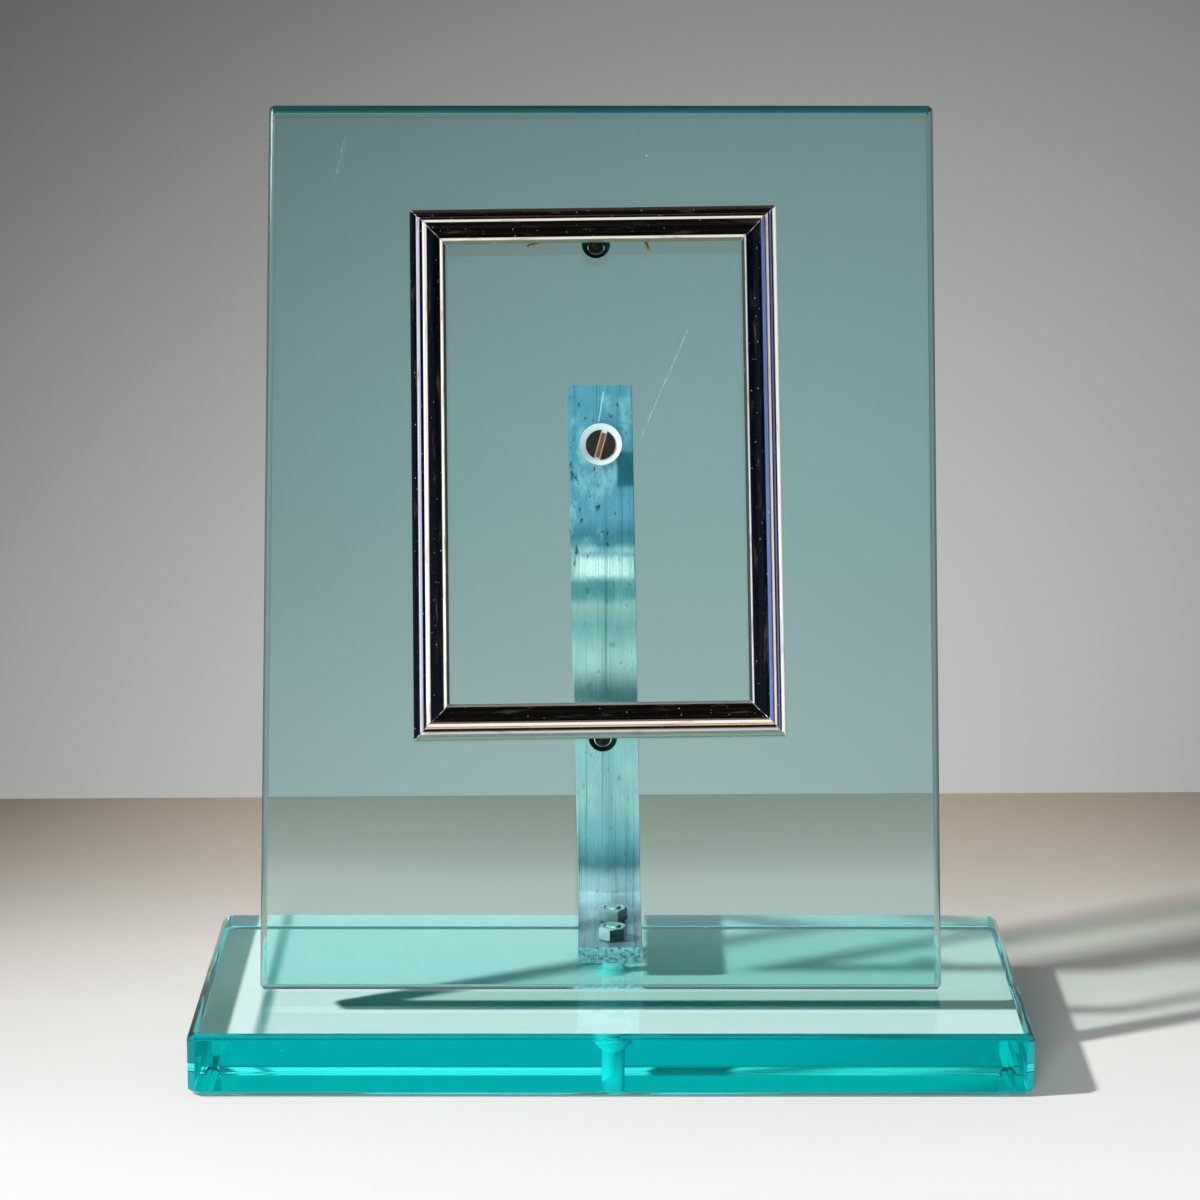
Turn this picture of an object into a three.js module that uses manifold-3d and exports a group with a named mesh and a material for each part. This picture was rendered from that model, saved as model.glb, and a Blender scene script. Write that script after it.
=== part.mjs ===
// A table picture frame of plate glass and metal, in millimetres, +Z up, front towards -Y.
// A leaning glass panel stands on a glass base. A bent bar behind it holds it up,
// and a mitred metal moulding on its front holds the print.
// The origin is the centre of the base's underside.

import * as THREE from 'three';
import { mergeVertices } from 'three/addons/utils/BufferGeometryUtils.js';
import Module from 'manifold-3d';

const wasm = await Module();
wasm.setup();

// Base slab
const baseWidth = 250;
const baseDepth = 120;
const baseThickness = 19;
const baseBevel = 1.6;
const baseCornerCut = 2.4;

// Leaning panel
const panelWidth = 206;
const panelHeight = 273;
const panelThickness = 10;
const panelBevel = 1.4;
const panelCornerCut = 1.2;
const panelTilt = THREE.MathUtils.degToRad(19.2);
const panelShift = -3;

// Bent bar, set out from the base's rear edge: heel, two bolts, near end, then the panel's toe
const barWidth = 20;
const barThickness = 5;
const legSetback = 1.8;
const footHoleSetback = 22.4;
const footHolePitch = 19.3;
const footHoleInset = 9;
const footHoleShift = 0.9;
const toeGap = 24.5;
const footBendRadius = 4;
const kneeBendRadius = 11;

// The screw's place below the moulding's top sight edge, and the bar's reach above and below it
const screwDrop = 62.4;
const barEndReach = 19.5;
const kneeDrop = 36.5;

// Fasteners: M5 throughout
const threadDiameter = 5;
const headDiameter = 9.2;
const headRim = 0.4;
const slotWidth = 1.5;
const slotDepth = 1.1;
const nutAcrossFlats = 8;
const nutHeight = 4;
const nutChamfer = 0.7;
const threadShown = 0.4;
const tipChamfer = 0.5;
const panelSlotTurn = THREE.MathUtils.degToRad(15);
const footTurns = {
  front: { slot: THREE.MathUtils.degToRad(35), nut: THREE.MathUtils.degToRad(-13) },
  rear: { slot: THREE.MathUtils.degToRad(-62), nut: THREE.MathUtils.degToRad(19.5) },
};

// How far each countersunk head lies below its face
const baseHeadSink = 0.5;
const panelHeadSink = 1.2;

// Moulding frame for a 100 by 150 print
const frameWidth = 112;
const frameHeight = 163;
const frameTopMargin = 33.7;
const frameShift = -1.3;
const frameLean = THREE.MathUtils.degToRad(0.8);

// Moulding section, from the outer edge inwards
const outerWall = 2.6;
const beadWidth = 2.1;
const beadRise = 0.5;
const beadCrown = 0.9;
const secondBeadWidth = 1.2;
const secondBeadCrown = 0.5;
const ridgeWidth = 1.4;
const ridgeCrown = 0.35;
const ridgeStep = 1.35;
const coveWidth = 4;
const coveRise = 1.85;
const coveSag = 0.9;
const coveStep = 0.2;
const lipWidth = 1.1;
const lipCrown = 0.45;
const lipStep = 0.15;
const lipThickness = 1.2;
const skirtWidth = 0.6;
const skirtEdge = 0.3;
const rebateWidth = 5;
const rebateDepth = 2.4;

// Pins and prongs on the moulding's back
const pinDiameter = 4.8;
const pinSetback = 1;
const pinTip = 0.8;
const pinShift = 0.8;
const pinHoleFlare = 1.7;
const pinHoleSink = 3.6;
const prongWire = 0.9;
const prongTip = 0.25;
const prongStud = 1.7;
const prongInset = 1.1;
const prongLeft = { x: -14.2, length: 6.6, turn: THREE.MathUtils.degToRad(196) };
const prongRight = { x: 15.6, length: 4, turn: THREE.MathUtils.degToRad(296) };

// Clearances
const restGap = 0.3;
const mitreGap = 0.15;
const pinClearance = 0.3;
const nutClearance = 0.12;
const barHoleClearance = 0.3;
const glassHoleClearance = 1;

// Facets, the overrun of a cutter past a face, and the distance within which corners are one
const holeSides = 40;
const roundSides = 32;
const wireSides = 16;
const bendSteps = 12;
const beadSteps = 8;
const cutterOverrun = 1;
const weldDistance = 1e-4;

const glass = { color: 0x8fd0c8, roughness: 0.05, metalness: 0, transparent: true, opacity: 0.45 };
const aluminium = { color: 0xb4bfc4, roughness: 0.35, metalness: 1 };
const steel = { color: 0xa9adae, roughness: 0.3, metalness: 1 };
const darkSteel = { color: 0x55504e, roughness: 0.35, metalness: 1 };
const nickel = { color: 0xc9c6c2, roughness: 0.12, metalness: 1 };
const brass = { color: 0xb8935a, roughness: 0.35, metalness: 1 };

// Solids

function toManifold(geometry) {
  const bare = geometry.clone();
  bare.deleteAttribute('normal');
  bare.deleteAttribute('uv');
  const merged = mergeVertices(bare, weldDistance);
  return new wasm.Manifold(new wasm.Mesh({
    numProp: 3,
    vertProperties: Float32Array.from(merged.attributes.position.array),
    triVerts: Uint32Array.from(merged.index.array),
  }));
}

function toGeometry(solid) {
  const mesh = solid.getMesh();
  const geometry = new THREE.BufferGeometry();
  geometry.setAttribute('position', new THREE.BufferAttribute(mesh.vertProperties, 3));
  geometry.setIndex(new THREE.BufferAttribute(mesh.triVerts, 1));
  geometry.computeVertexNormals();
  return geometry;
}

function cut(geometry, cutters) {
  let solid = toManifold(geometry);
  for (const cutter of cutters) {
    solid = solid.subtract(toManifold(cutter));
  }
  return toGeometry(solid);
}

function piece(name, geometry, finish) {
  const mesh = new THREE.Mesh(geometry, new THREE.MeshStandardMaterial(finish));
  mesh.name = name;
  return mesh;
}

// A body of revolution about +Z from [radius, height] pairs that start and end on the axis.
function turned(profile, sides) {
  const points = profile.map(([radius, height]) => new THREE.Vector2(radius, height));
  return new THREE.LatheGeometry(points, sides).rotateX(Math.PI / 2);
}

function rod(diameter, from, to, sides = holeSides) {
  return turned([[0, from], [diameter / 2, from], [diameter / 2, to], [0, to]], sides);
}

// A rectangle with its corners cut off at 45 degrees.
function cutCornerRectangle(width, height, corner) {
  const x = width / 2;
  const y = height / 2;
  const shape = new THREE.Shape();
  shape.moveTo(-x + corner, -y);
  shape.lineTo(x - corner, -y);
  shape.lineTo(x, -y + corner);
  shape.lineTo(x, y - corner);
  shape.lineTo(x - corner, y);
  shape.lineTo(-x + corner, y);
  shape.lineTo(-x, y - corner);
  shape.lineTo(-x, -y + corner);
  return shape;
}

// A plate from z 0 to its thickness, with a flat bevel round both faces.
function bevelledPlate(width, height, thickness, bevel, corner) {
  return new THREE.ExtrudeGeometry(cutCornerRectangle(width, height, corner), {
    depth: thickness - 2 * bevel,
    bevelEnabled: true,
    bevelThickness: bevel,
    bevelSize: bevel,
    bevelOffset: -bevel,
    bevelSegments: 1,
  }).translate(0, 0, bevel);
}

// The mouth of a 90 degree countersink that seats a screw head at a depth below the face.
function sinkMouth(headSink) {
  return headDiameter + 2 * (headSink + headRim + restGap);
}

// A through hole along +Z with a 90 degree countersink whose mouth is at z 0.
function countersunkHole(hole, mouth, length) {
  return turned([
    [0, -cutterOverrun],
    [mouth / 2, -cutterOverrun],
    [mouth / 2, 0],
    [hole / 2, (mouth - hole) / 2],
    [hole / 2, length + cutterOverrun],
    [0, length + cutterOverrun],
  ], holeSides);
}

// A slotted countersunk screw along +Z. Its head's flat face is at z 0.
function countersunkScrew(length, turn) {
  const cone = headRim + (headDiameter - threadDiameter) / 2;
  const body = turned([
    [0, 0],
    [headDiameter / 2, 0],
    [headDiameter / 2, headRim],
    [threadDiameter / 2, cone],
    [threadDiameter / 2, length - tipChamfer],
    [threadDiameter / 2 - tipChamfer, length],
    [0, length],
  ], roundSides);
  const slot = new THREE.BoxGeometry(slotWidth, headDiameter * 2, slotDepth * 2).rotateZ(turn);
  return cut(body, [slot]);
}

// A hexagon nut along +Z from z 0, its corners chamfered at both ends.
function hexNut() {
  const corner = nutAcrossFlats / Math.sqrt(3);
  const prism = new THREE.CylinderGeometry(corner, corner, nutHeight, 6)
    .rotateX(Math.PI / 2)
    .translate(0, 0, nutHeight / 2);
  const face = nutAcrossFlats / 2;
  const reach = face + nutChamfer * Math.sqrt(3);
  const barrel = turned([
    [0, 0],
    [face, 0],
    [reach, nutChamfer],
    [reach, nutHeight - nutChamfer],
    [face, nutHeight],
    [0, nutHeight],
  ], roundSides);
  const boreDiameter = threadDiameter + 2 * nutClearance;
  const bore = rod(boreDiameter, -cutterOverrun, nutHeight + cutterOverrun, roundSides);
  return toGeometry(toManifold(prism).intersect(toManifold(barrel)).subtract(toManifold(bore)));
}

// Frames of reference

const baseTop = baseThickness;
const heelY = baseDepth / 2 - legSetback;
const footHoleY = { rear: heelY - footHoleSetback };
footHoleY.front = footHoleY.rear - footHolePitch;
const barNear = footHoleY.front - footHoleInset;

// The panel's own frame: x to the right, y up the panel from its toe, z out of its front.
// Its rear face is at z 0, and it stands on the lower edge of its bevel.
const panelFrame = new THREE.Group();
const panelLift = baseTop + restGap - panelBevel * Math.sin(panelTilt);
panelFrame.position.set(panelShift, barNear - toeGap, panelLift);
panelFrame.rotation.x = Math.PI / 2 - panelTilt;

// The moulding's frame: x to the right, y up, z out of the front, with its back at z 0.
const mouldingTop = frameHeight / 2;
const railWidth = beadWidth + secondBeadWidth + ridgeWidth + coveWidth + lipWidth + skirtWidth;
const sightTop = mouldingTop - railWidth;
const mouldingFrame = new THREE.Group();
const frameCentreHeight = panelHeight - frameTopMargin - mouldingTop;
mouldingFrame.position.set(frameShift, frameCentreHeight, panelThickness + restGap);
mouldingFrame.rotation.z = frameLean;
panelFrame.add(mouldingFrame);

const screwHeight = frameCentreHeight + sightTop - screwDrop;
const kneeHeight = screwHeight - kneeDrop;
const barTopHeight = screwHeight + barEndReach;

function onPanel(point) {
  mouldingFrame.updateMatrix();
  return point.applyMatrix4(mouldingFrame.matrix);
}

// A point of the panel's rear face, raised by height up the panel, as [y, z] of the object.
function behindPanel(height, offset) {
  const y = panelFrame.position.y + height * Math.sin(panelTilt) + offset * Math.cos(panelTilt);
  const z = panelFrame.position.z + height * Math.cos(panelTilt) - offset * Math.sin(panelTilt);
  return new THREE.Vector2(y, z);
}

// Base

const glassHole = threadDiameter + 2 * glassHoleClearance;

function basePlate() {
  const plate = bevelledPlate(baseWidth, baseDepth, baseThickness, baseBevel, baseCornerCut);
  const holes = Object.values(footHoleY).map((y) => (
    countersunkHole(glassHole, sinkMouth(baseHeadSink), baseThickness)
      .translate(footHoleShift, y, 0)
  ));
  return cut(plate, holes);
}

// Panel

const pinY = { top: sightTop, bottom: -mouldingTop };

function glassPanel() {
  const plate = bevelledPlate(panelWidth, panelHeight, panelThickness, panelBevel, panelCornerCut);
  plate.translate(0, panelHeight / 2, 0);
  const screwHole = countersunkHole(glassHole, sinkMouth(panelHeadSink), panelThickness)
    .rotateX(Math.PI)
    .translate(0, screwHeight, panelThickness);
  const bore = pinDiameter / 2 + pinClearance;
  const mouth = bore + pinHoleFlare;
  const pinHoles = Object.values(pinY).map((y) => {
    const centre = onPanel(new THREE.Vector3(pinShift, y, 0));
    return turned([
      [0, -cutterOverrun],
      [bore, -cutterOverrun],
      [bore, panelThickness - pinHoleSink],
      [mouth, panelThickness],
      [mouth, panelThickness + cutterOverrun],
      [0, panelThickness + cutterOverrun],
    ], holeSides).translate(centre.x, centre.y, 0);
  });
  return cut(plate, [screwHole, ...pinHoles]);
}

// Bent bar

const barHole = threadDiameter + 2 * barHoleClearance;
const barHalf = restGap + barThickness / 2;
const barFoot = baseTop + barHalf;
const barPath = [
  new THREE.Vector2(barNear, barFoot),
  new THREE.Vector2(heelY, barFoot),
  behindPanel(kneeHeight, barHalf),
  behindPanel(barTopHeight, barHalf),
];

// One edge of a bar bent along a path: its corners rounded, shifted sideways by offset to the left.
function bentEdge(path, radii, offset) {
  const points = [];
  const left = (direction) => new THREE.Vector2(-direction.y, direction.x);
  const first = path[1].clone().sub(path[0]).normalize();
  points.push(path[0].clone().addScaledVector(left(first), offset));
  for (let corner = 1; corner < path.length - 1; corner += 1) {
    const before = path[corner].clone().sub(path[corner - 1]).normalize();
    const after = path[corner + 1].clone().sub(path[corner]).normalize();
    const turn = Math.atan2(before.cross(after), before.dot(after));
    const side = Math.sign(turn);
    const radius = radii[corner - 1] + barThickness / 2;
    const tangent = radius * Math.tan(Math.abs(turn) / 2);
    const centre = path[corner].clone()
      .addScaledVector(before, -tangent)
      .addScaledVector(left(before), side * radius);
    for (let step = 0; step <= bendSteps; step += 1) {
      const normal = left(before).rotateAround(new THREE.Vector2(), (turn * step) / bendSteps);
      points.push(centre.clone().addScaledVector(normal, offset - side * radius));
    }
  }
  const last = path[path.length - 1].clone().sub(path[path.length - 2]).normalize();
  points.push(path[path.length - 1].clone().addScaledVector(left(last), offset));
  return points;
}

// How far the bar moves sideways for each millimetre that it rises above its foot.
const footTop = baseTop + restGap + barThickness;
const barLean = panelShift / (behindPanel(screwHeight, barHalf).y - footTop);

function bentBar() {
  const radii = [footBendRadius, kneeBendRadius];
  const front = bentEdge(barPath, radii, barThickness / 2);
  const rear = bentEdge(barPath, radii, -barThickness / 2);
  const outline = new THREE.Shape([...rear, ...front.reverse()]);
  const bar = new THREE.ExtrudeGeometry(outline, { depth: barWidth, bevelEnabled: false })
    .translate(0, 0, -barWidth / 2)
    .applyMatrix4(new THREE.Matrix4().set(0, 0, 1, 0, 1, 0, 0, 0, 0, 1, 0, 0, 0, 0, 0, 1));
  const position = bar.attributes.position;
  for (let index = 0; index < position.count; index += 1) {
    const rise = Math.max(0, position.getZ(index) - footTop);
    position.setX(index, position.getX(index) + rise * barLean);
  }
  const footHoles = Object.values(footHoleY).map((y) => (
    rod(barHole, baseTop - cutterOverrun, footTop + cutterOverrun).translate(footHoleShift, y, 0)
  ));
  panelFrame.updateMatrix();
  const screwHole = rod(barHole, -restGap - barThickness - cutterOverrun, cutterOverrun)
    .translate(0, screwHeight, 0)
    .applyMatrix4(panelFrame.matrix);
  return cut(bar, [...footHoles, screwHole]);
}

// Fasteners

const footNutSeat = footTop + restGap;
const footBoltLength = footNutSeat + nutHeight + threadShown - baseHeadSink;
const rearNutSeat = 2 * restGap + barThickness;
const panelScrewLength = panelThickness - panelHeadSink + rearNutSeat + nutHeight + threadShown;

function footFasteners() {
  const group = new THREE.Group();
  for (const [end, turn] of Object.entries(footTurns)) {
    const bolt = piece(`foot_bolt_${end}`, countersunkScrew(footBoltLength, turn.slot), steel);
    bolt.position.set(footHoleShift, footHoleY[end], baseHeadSink);
    const nut = piece(`foot_nut_${end}`, hexNut(), steel);
    nut.position.set(footHoleShift, footHoleY[end], footNutSeat);
    nut.rotation.z = turn.nut;
    group.add(bolt, nut);
  }
  return group;
}

function panelFasteners() {
  const group = new THREE.Group();
  const screw = piece('panel_screw', countersunkScrew(panelScrewLength, panelSlotTurn), darkSteel);
  screw.rotation.x = Math.PI;
  screw.position.set(0, screwHeight, panelThickness - panelHeadSink);
  const nut = piece('panel_screw_nut', hexNut(), steel);
  nut.rotation.x = Math.PI;
  nut.position.set(0, screwHeight, -rearNutSeat);
  group.add(screw, nut);
  return group;
}

// Moulding

// Points of an arc that bulges by height over a chord from one [across, rise] point to another.
function bulge(from, to, height, steps = beadSteps) {
  const along = to.clone().sub(from);
  const across = new THREE.Vector2(-along.y, along.x).normalize();
  const half = along.length() / 2;
  const radius = (half * half + height * height) / (2 * Math.abs(height));
  const reach = 2 * Math.atan2(Math.abs(height), half);
  const middle = from.clone().add(to).multiplyScalar(0.5);
  const centre = middle.addScaledVector(across, height - Math.sign(height) * radius);
  const unit = along.normalize();
  const points = [];
  for (let step = 0; step <= steps; step += 1) {
    const angle = -reach + (2 * reach * step) / steps;
    points.push(centre.clone()
      .addScaledVector(unit, radius * Math.sin(angle))
      .addScaledVector(across, Math.sign(height) * radius * Math.cos(angle)));
  }
  return points;
}

// The moulding's section: x from the outer edge inwards, y out from its back.
// Two beads, a ridge, a scooped cove and a small lip over the rebate.
function railSection() {
  const at = (x, y) => new THREE.Vector2(x, y);
  const ridge = beadWidth + secondBeadWidth;
  const cove = ridge + ridgeWidth;
  const lip = cove + coveWidth;
  const skirt = lip + lipWidth;
  const rebate = railWidth - rebateWidth;
  const lipFoot = rebateDepth + lipThickness;
  const coveTop = lipFoot + coveRise;
  const ridgeFoot = coveTop + coveStep;
  const secondBeadFoot = ridgeFoot - ridgeStep;
  return [
    at(0, 0),
    ...bulge(at(0, outerWall), at(beadWidth, outerWall + beadRise), beadCrown),
    ...bulge(at(beadWidth, secondBeadFoot), at(ridge, secondBeadFoot), secondBeadCrown),
    ...bulge(at(ridge, ridgeFoot), at(cove, ridgeFoot), ridgeCrown),
    ...bulge(at(cove, coveTop), at(lip, lipFoot), -coveSag),
    ...bulge(at(lip, lipFoot + lipStep), at(skirt, lipFoot), lipCrown),
    at(railWidth, rebateDepth + skirtEdge),
    at(railWidth, rebateDepth),
    at(rebate, rebateDepth),
    at(rebate, 0),
  ];
}

// A rail with mitred ends along +X, centred, its outer edge along y 0 and its section rising in z.
function mitredRail(length) {
  const geometry = new THREE.ExtrudeGeometry(new THREE.Shape(railSection()), {
    depth: length,
    bevelEnabled: false,
  });
  const position = geometry.attributes.position;
  for (let index = 0; index < position.count; index += 1) {
    const inward = position.getX(index);
    const rise = position.getY(index);
    const end = Math.sign(position.getZ(index) - length / 2);
    position.setXYZ(index, -end * (length / 2 - inward - mitreGap), -inward, rise);
  }
  geometry.computeVertexNormals();
  return geometry;
}

function mouldingRails() {
  const group = new THREE.Group();
  const sides = [
    { name: 'rail_top', length: frameWidth, reach: frameHeight / 2, turn: 0 },
    { name: 'rail_right', length: frameHeight, reach: frameWidth / 2, turn: -Math.PI / 2 },
    { name: 'rail_bottom', length: frameWidth, reach: frameHeight / 2, turn: Math.PI },
    { name: 'rail_left', length: frameHeight, reach: frameWidth / 2, turn: Math.PI / 2 },
  ];
  for (const { name, length, reach, turn } of sides) {
    const rail = piece(name, mitredRail(length), nickel);
    rail.rotation.z = turn;
    rail.position.set(-reach * Math.sin(turn), reach * Math.cos(turn), 0);
    group.add(rail);
  }
  return group;
}

// Each pin starts at the back of its rail and reaches into its hole in the panel.
// The top pin meets its rail inside the rebate.
function mouldingPins() {
  const group = new THREE.Group();
  const root = { top: rebateDepth - restGap, bottom: -restGap };
  const end = pinSetback - restGap - panelThickness;
  for (const [edge, y] of Object.entries(pinY)) {
    const geometry = turned([
      [0, end],
      [pinDiameter / 2 - pinTip, end],
      [pinDiameter / 2, end + pinTip],
      [pinDiameter / 2, root[edge]],
      [0, root[edge]],
    ], roundSides);
    const pin = piece(`pin_${edge}`, geometry, brass);
    pin.position.set(pinShift, y, 0);
    group.add(pin);
  }
  return group;
}

// A wire prong that turns on a stud behind the top rail's lip.
function prong(name, { x, length, turn }) {
  const wireCentre = rebateDepth / 2;
  const stud = rod(prongStud, wireCentre - prongWire / 2, rebateDepth - restGap, wireSides);
  const wire = turned([
    [0, 0],
    [prongWire / 2, 0],
    [prongWire / 2, length - prongTip],
    [prongWire / 2 - prongTip, length],
    [0, length],
  ], wireSides).rotateY(Math.PI / 2).translate(0, 0, wireCentre);
  const mesh = piece(name, toGeometry(toManifold(stud).add(toManifold(wire))), brass);
  mesh.position.set(x, sightTop + prongInset, 0);
  mesh.rotation.z = turn;
  return mesh;
}

// Assembly

const pictureFrame = new THREE.Group();
pictureFrame.add(
  piece('base_plate', basePlate(), glass),
  piece('strut', bentBar(), aluminium),
  footFasteners(),
  panelFrame,
);
panelFrame.add(piece('glass_panel', glassPanel(), glass), panelFasteners());
mouldingFrame.add(
  mouldingRails(),
  mouldingPins(),
  prong('prong_left', prongLeft),
  prong('prong_right', prongRight),
);

export default pictureFrame;
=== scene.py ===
"""The looks of a table picture frame of plate glass and metal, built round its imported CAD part.

Shapes are set out in millimetres and degrees, with the CAD source's sizes, and scaled to metres
at the end. Finishes and the stage are in metres.
"""

import math

import bmesh
import bpy
from mathutils import Matrix, Vector


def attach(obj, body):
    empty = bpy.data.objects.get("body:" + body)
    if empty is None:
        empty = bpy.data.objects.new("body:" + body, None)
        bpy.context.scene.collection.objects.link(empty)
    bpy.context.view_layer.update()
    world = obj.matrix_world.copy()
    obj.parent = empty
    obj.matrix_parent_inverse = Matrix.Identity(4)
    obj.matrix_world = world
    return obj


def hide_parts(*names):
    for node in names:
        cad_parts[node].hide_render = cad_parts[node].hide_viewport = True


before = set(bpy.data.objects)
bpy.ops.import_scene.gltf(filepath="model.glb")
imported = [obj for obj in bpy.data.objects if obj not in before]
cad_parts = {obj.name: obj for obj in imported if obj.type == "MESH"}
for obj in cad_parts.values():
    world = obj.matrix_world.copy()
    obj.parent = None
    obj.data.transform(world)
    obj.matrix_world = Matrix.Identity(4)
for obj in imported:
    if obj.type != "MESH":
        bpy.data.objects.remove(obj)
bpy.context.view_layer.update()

MM = 0.001
scene = bpy.context.scene

# Base slab
BASE_WIDTH = 250.0
BASE_DEPTH = 120.0
BASE_THICKNESS = 19.0
BASE_BEVEL = 1.6
BASE_CORNER = 2.4

# Leaning panel
PANEL_WIDTH = 206.0
PANEL_HEIGHT = 273.0
PANEL_THICKNESS = 10.0
PANEL_BEVEL = 1.4
PANEL_CORNER = 1.2
PANEL_TILT = 19.2
PANEL_SHIFT = -3.0
PANEL_TOE = -17.0

# The tiny rounding that polishing leaves on every glass edge
ARRIS = 0.12

# Bent bar: its section, the places of its near end and heel, and its bends
BAR_WIDTH = 20.0
BAR_THICKNESS = 5.0
BAR_NEAR = 7.5
BAR_HEEL = 58.2
BAR_CORNER = 0.35
FOOT_BEND = 4.0
KNEE_BEND = 11.0
BEND_SWELL = 0.25

# The screw's place below the moulding's top sight edge, and the bar's reach above and below it
SCREW_DROP = 62.4
BAR_END_REACH = 19.5
KNEE_DROP = 36.5

# Fasteners
THREAD = 5.0
PITCH = 0.8
THREAD_DEPTH = 0.42
THREAD_START = 0.6
THREAD_FADE = 0.2
THREAD_SHOWN = 0.4
TIP = 0.5
HEAD = 9.2
HEAD_RIM = 0.4
HEAD_EDGE_INSET = 0.15
HEAD_EDGE_RISE = 0.12
SLOT_WIDTH = 1.5
SLOT_DEPTH = 1.1
NUT_FLATS = 8.0
NUT_HEIGHT = 4.0
NUT_CHAMFER = 0.7
NUT_FACE_INSET = 0.15
NUT_CLEARANCE = 0.12
NUT_BORE_CHAMFER = 0.3
FOOT_BOLT_X = 0.9
FOOT_BOLT_Y = {"front": 16.5, "rear": 35.8}
SLOT_TURN = {"front": 35.0, "rear": -62.0, "panel": 15.0}
NUT_TURN = {"front": -13.0, "rear": 19.5, "panel": 0.0}
BASE_HEAD_SINK = 0.5
PANEL_HEAD_SINK = 1.2
GLASS_HOLE = 7.0
BAR_HOLE = 5.6
BASE_SINK_MOUTH = 11.6
PANEL_SINK_MOUTH = 13.0

# Moulding
FRAME_WIDTH = 112.0
FRAME_HEIGHT = 163.0
FRAME_MARGIN = 33.7
FRAME_SHIFT = -1.3
FRAME_LEAN = 0.8
RAIL_WIDTH = 10.4
RAIL_UNEVENNESS = 0.03
SKIRT = (-0.5, 0.6)
LIP_EDGE = 2.7
REBATE_START = 5.4
REBATE_DEPTH = 2.4
MITRE_GAP = 0.15
SOLDER_HALF_WIDTH = 0.09
SOLDER_SINK = 0.02

# Curves of the moulding's section: start and end as (inward, rise), and the arc's height
BEAD = ((-0.6, 2.1), (2.1, 3.1), 0.9)
SECOND_BEAD = ((2.1, 4.3), (3.3, 4.3), 0.5)
RIDGE = ((3.3, 5.65), (4.7, 5.65), 0.35)
COVE = ((4.7, 5.45), (8.7, 3.6), -0.9)
LIP = ((8.7, 3.75), (9.8, 3.6), 0.45)

# Waves in a hand-made rail: rate along it, change from rail to rail, and share
WAVES = ((0.11, 1.0, 1.0), (0.31, 2.1, 0.6))

# Pins and prongs
PIN = 4.8
PIN_TIP = 0.8
PIN_TIP_RISE = (0.64, 1.04)
PIN_EDGE = 0.1
PIN_SHIFT = 0.8
PIN_END = -9.3
PIN_BORE = 5.4
PIN_MOUTH = 8.8
PIN_SINK = 3.6
PRONG_WIRE = 0.9
PRONG_END_SHARE = 0.75
PRONG_STATIONS = (0.0, 0.03, 0.3, 0.5, 0.7, 0.9, 0.97)
PRONG_BOW = 0.06
PRONG_STUD = 1.7
PRONG_STUD_EDGE = 0.1
PRONG_INSET = 1.1

# Each prong's place along the top rail, its length and its turn in degrees
PRONGS = {"left": (-14.2, 6.6, 196.0), "right": (15.6, 4.0, 296.0)}

# Gap between pieces that rest on each other, and a cutter's overrun past a face
REST = 0.3
OVERRUN = 1.0

# Ends of the bar's drills: heights over the base, and offsets from the panel's back
FOOT_DRILL = (-1.0, 8.0)
PANEL_DRILL = (-7.0, 1.0)

# Facets and steps
ROUND_SIDES = 48
HOLE_SIDES = 64
SCREW_SIDES = 40
STUD_SIDES = 32
WIRE_SIDES = 16
THREAD_RINGS = 6
BEND_STEPS = 18
CORNER_STEPS = 4
BEAD_STEPS = 12
RAIL_STEPS = 28

# Angles in degrees from which an edge shows as sharp
SHARP = 35.0
NUT_SHARP = 20.0
RAIL_SHARP = 38.0

BASE_TOP = BASE_THICKNESS
FOOT_TOP = BASE_TOP + REST + BAR_THICKNESS
BAR_MIDDLE = REST + BAR_THICKNESS / 2
SIGHT_TOP = FRAME_HEIGHT / 2 - RAIL_WIDTH
FRAME_CENTRE = PANEL_HEIGHT - FRAME_MARGIN - FRAME_HEIGHT / 2
SCREW_HEIGHT = FRAME_CENTRE + SIGHT_TOP - SCREW_DROP
KNEE_HEIGHT = SCREW_HEIGHT - KNEE_DROP
BAR_TOP_HEIGHT = SCREW_HEIGHT + BAR_END_REACH
PANEL_FOOT_HEIGHT = BASE_TOP + REST - PANEL_BEVEL * math.sin(math.radians(PANEL_TILT))
PIN_Y = {"top": SIGHT_TOP, "bottom": -FRAME_HEIGHT / 2}


def shift(x, y, z=0.0):
    return Matrix.Translation((x, y, z))


def spin(degrees, axis="Z"):
    return Matrix.Rotation(math.radians(degrees), 4, axis)


PANEL_PLACE = shift(PANEL_SHIFT, PANEL_TOE, PANEL_FOOT_HEIGHT) @ spin(90.0 - PANEL_TILT, "X")
MOULDING_IN_PANEL = shift(FRAME_SHIFT, FRAME_CENTRE, PANEL_THICKNESS + REST) @ spin(FRAME_LEAN)
MOULDING_PLACE = PANEL_PLACE @ MOULDING_IN_PANEL


# Node trees

# A drawn line: share of its width that is full, and of its length from its middle to its fade
LINE_CORE = 0.4
LINE_TAPER = 0.42


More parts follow.
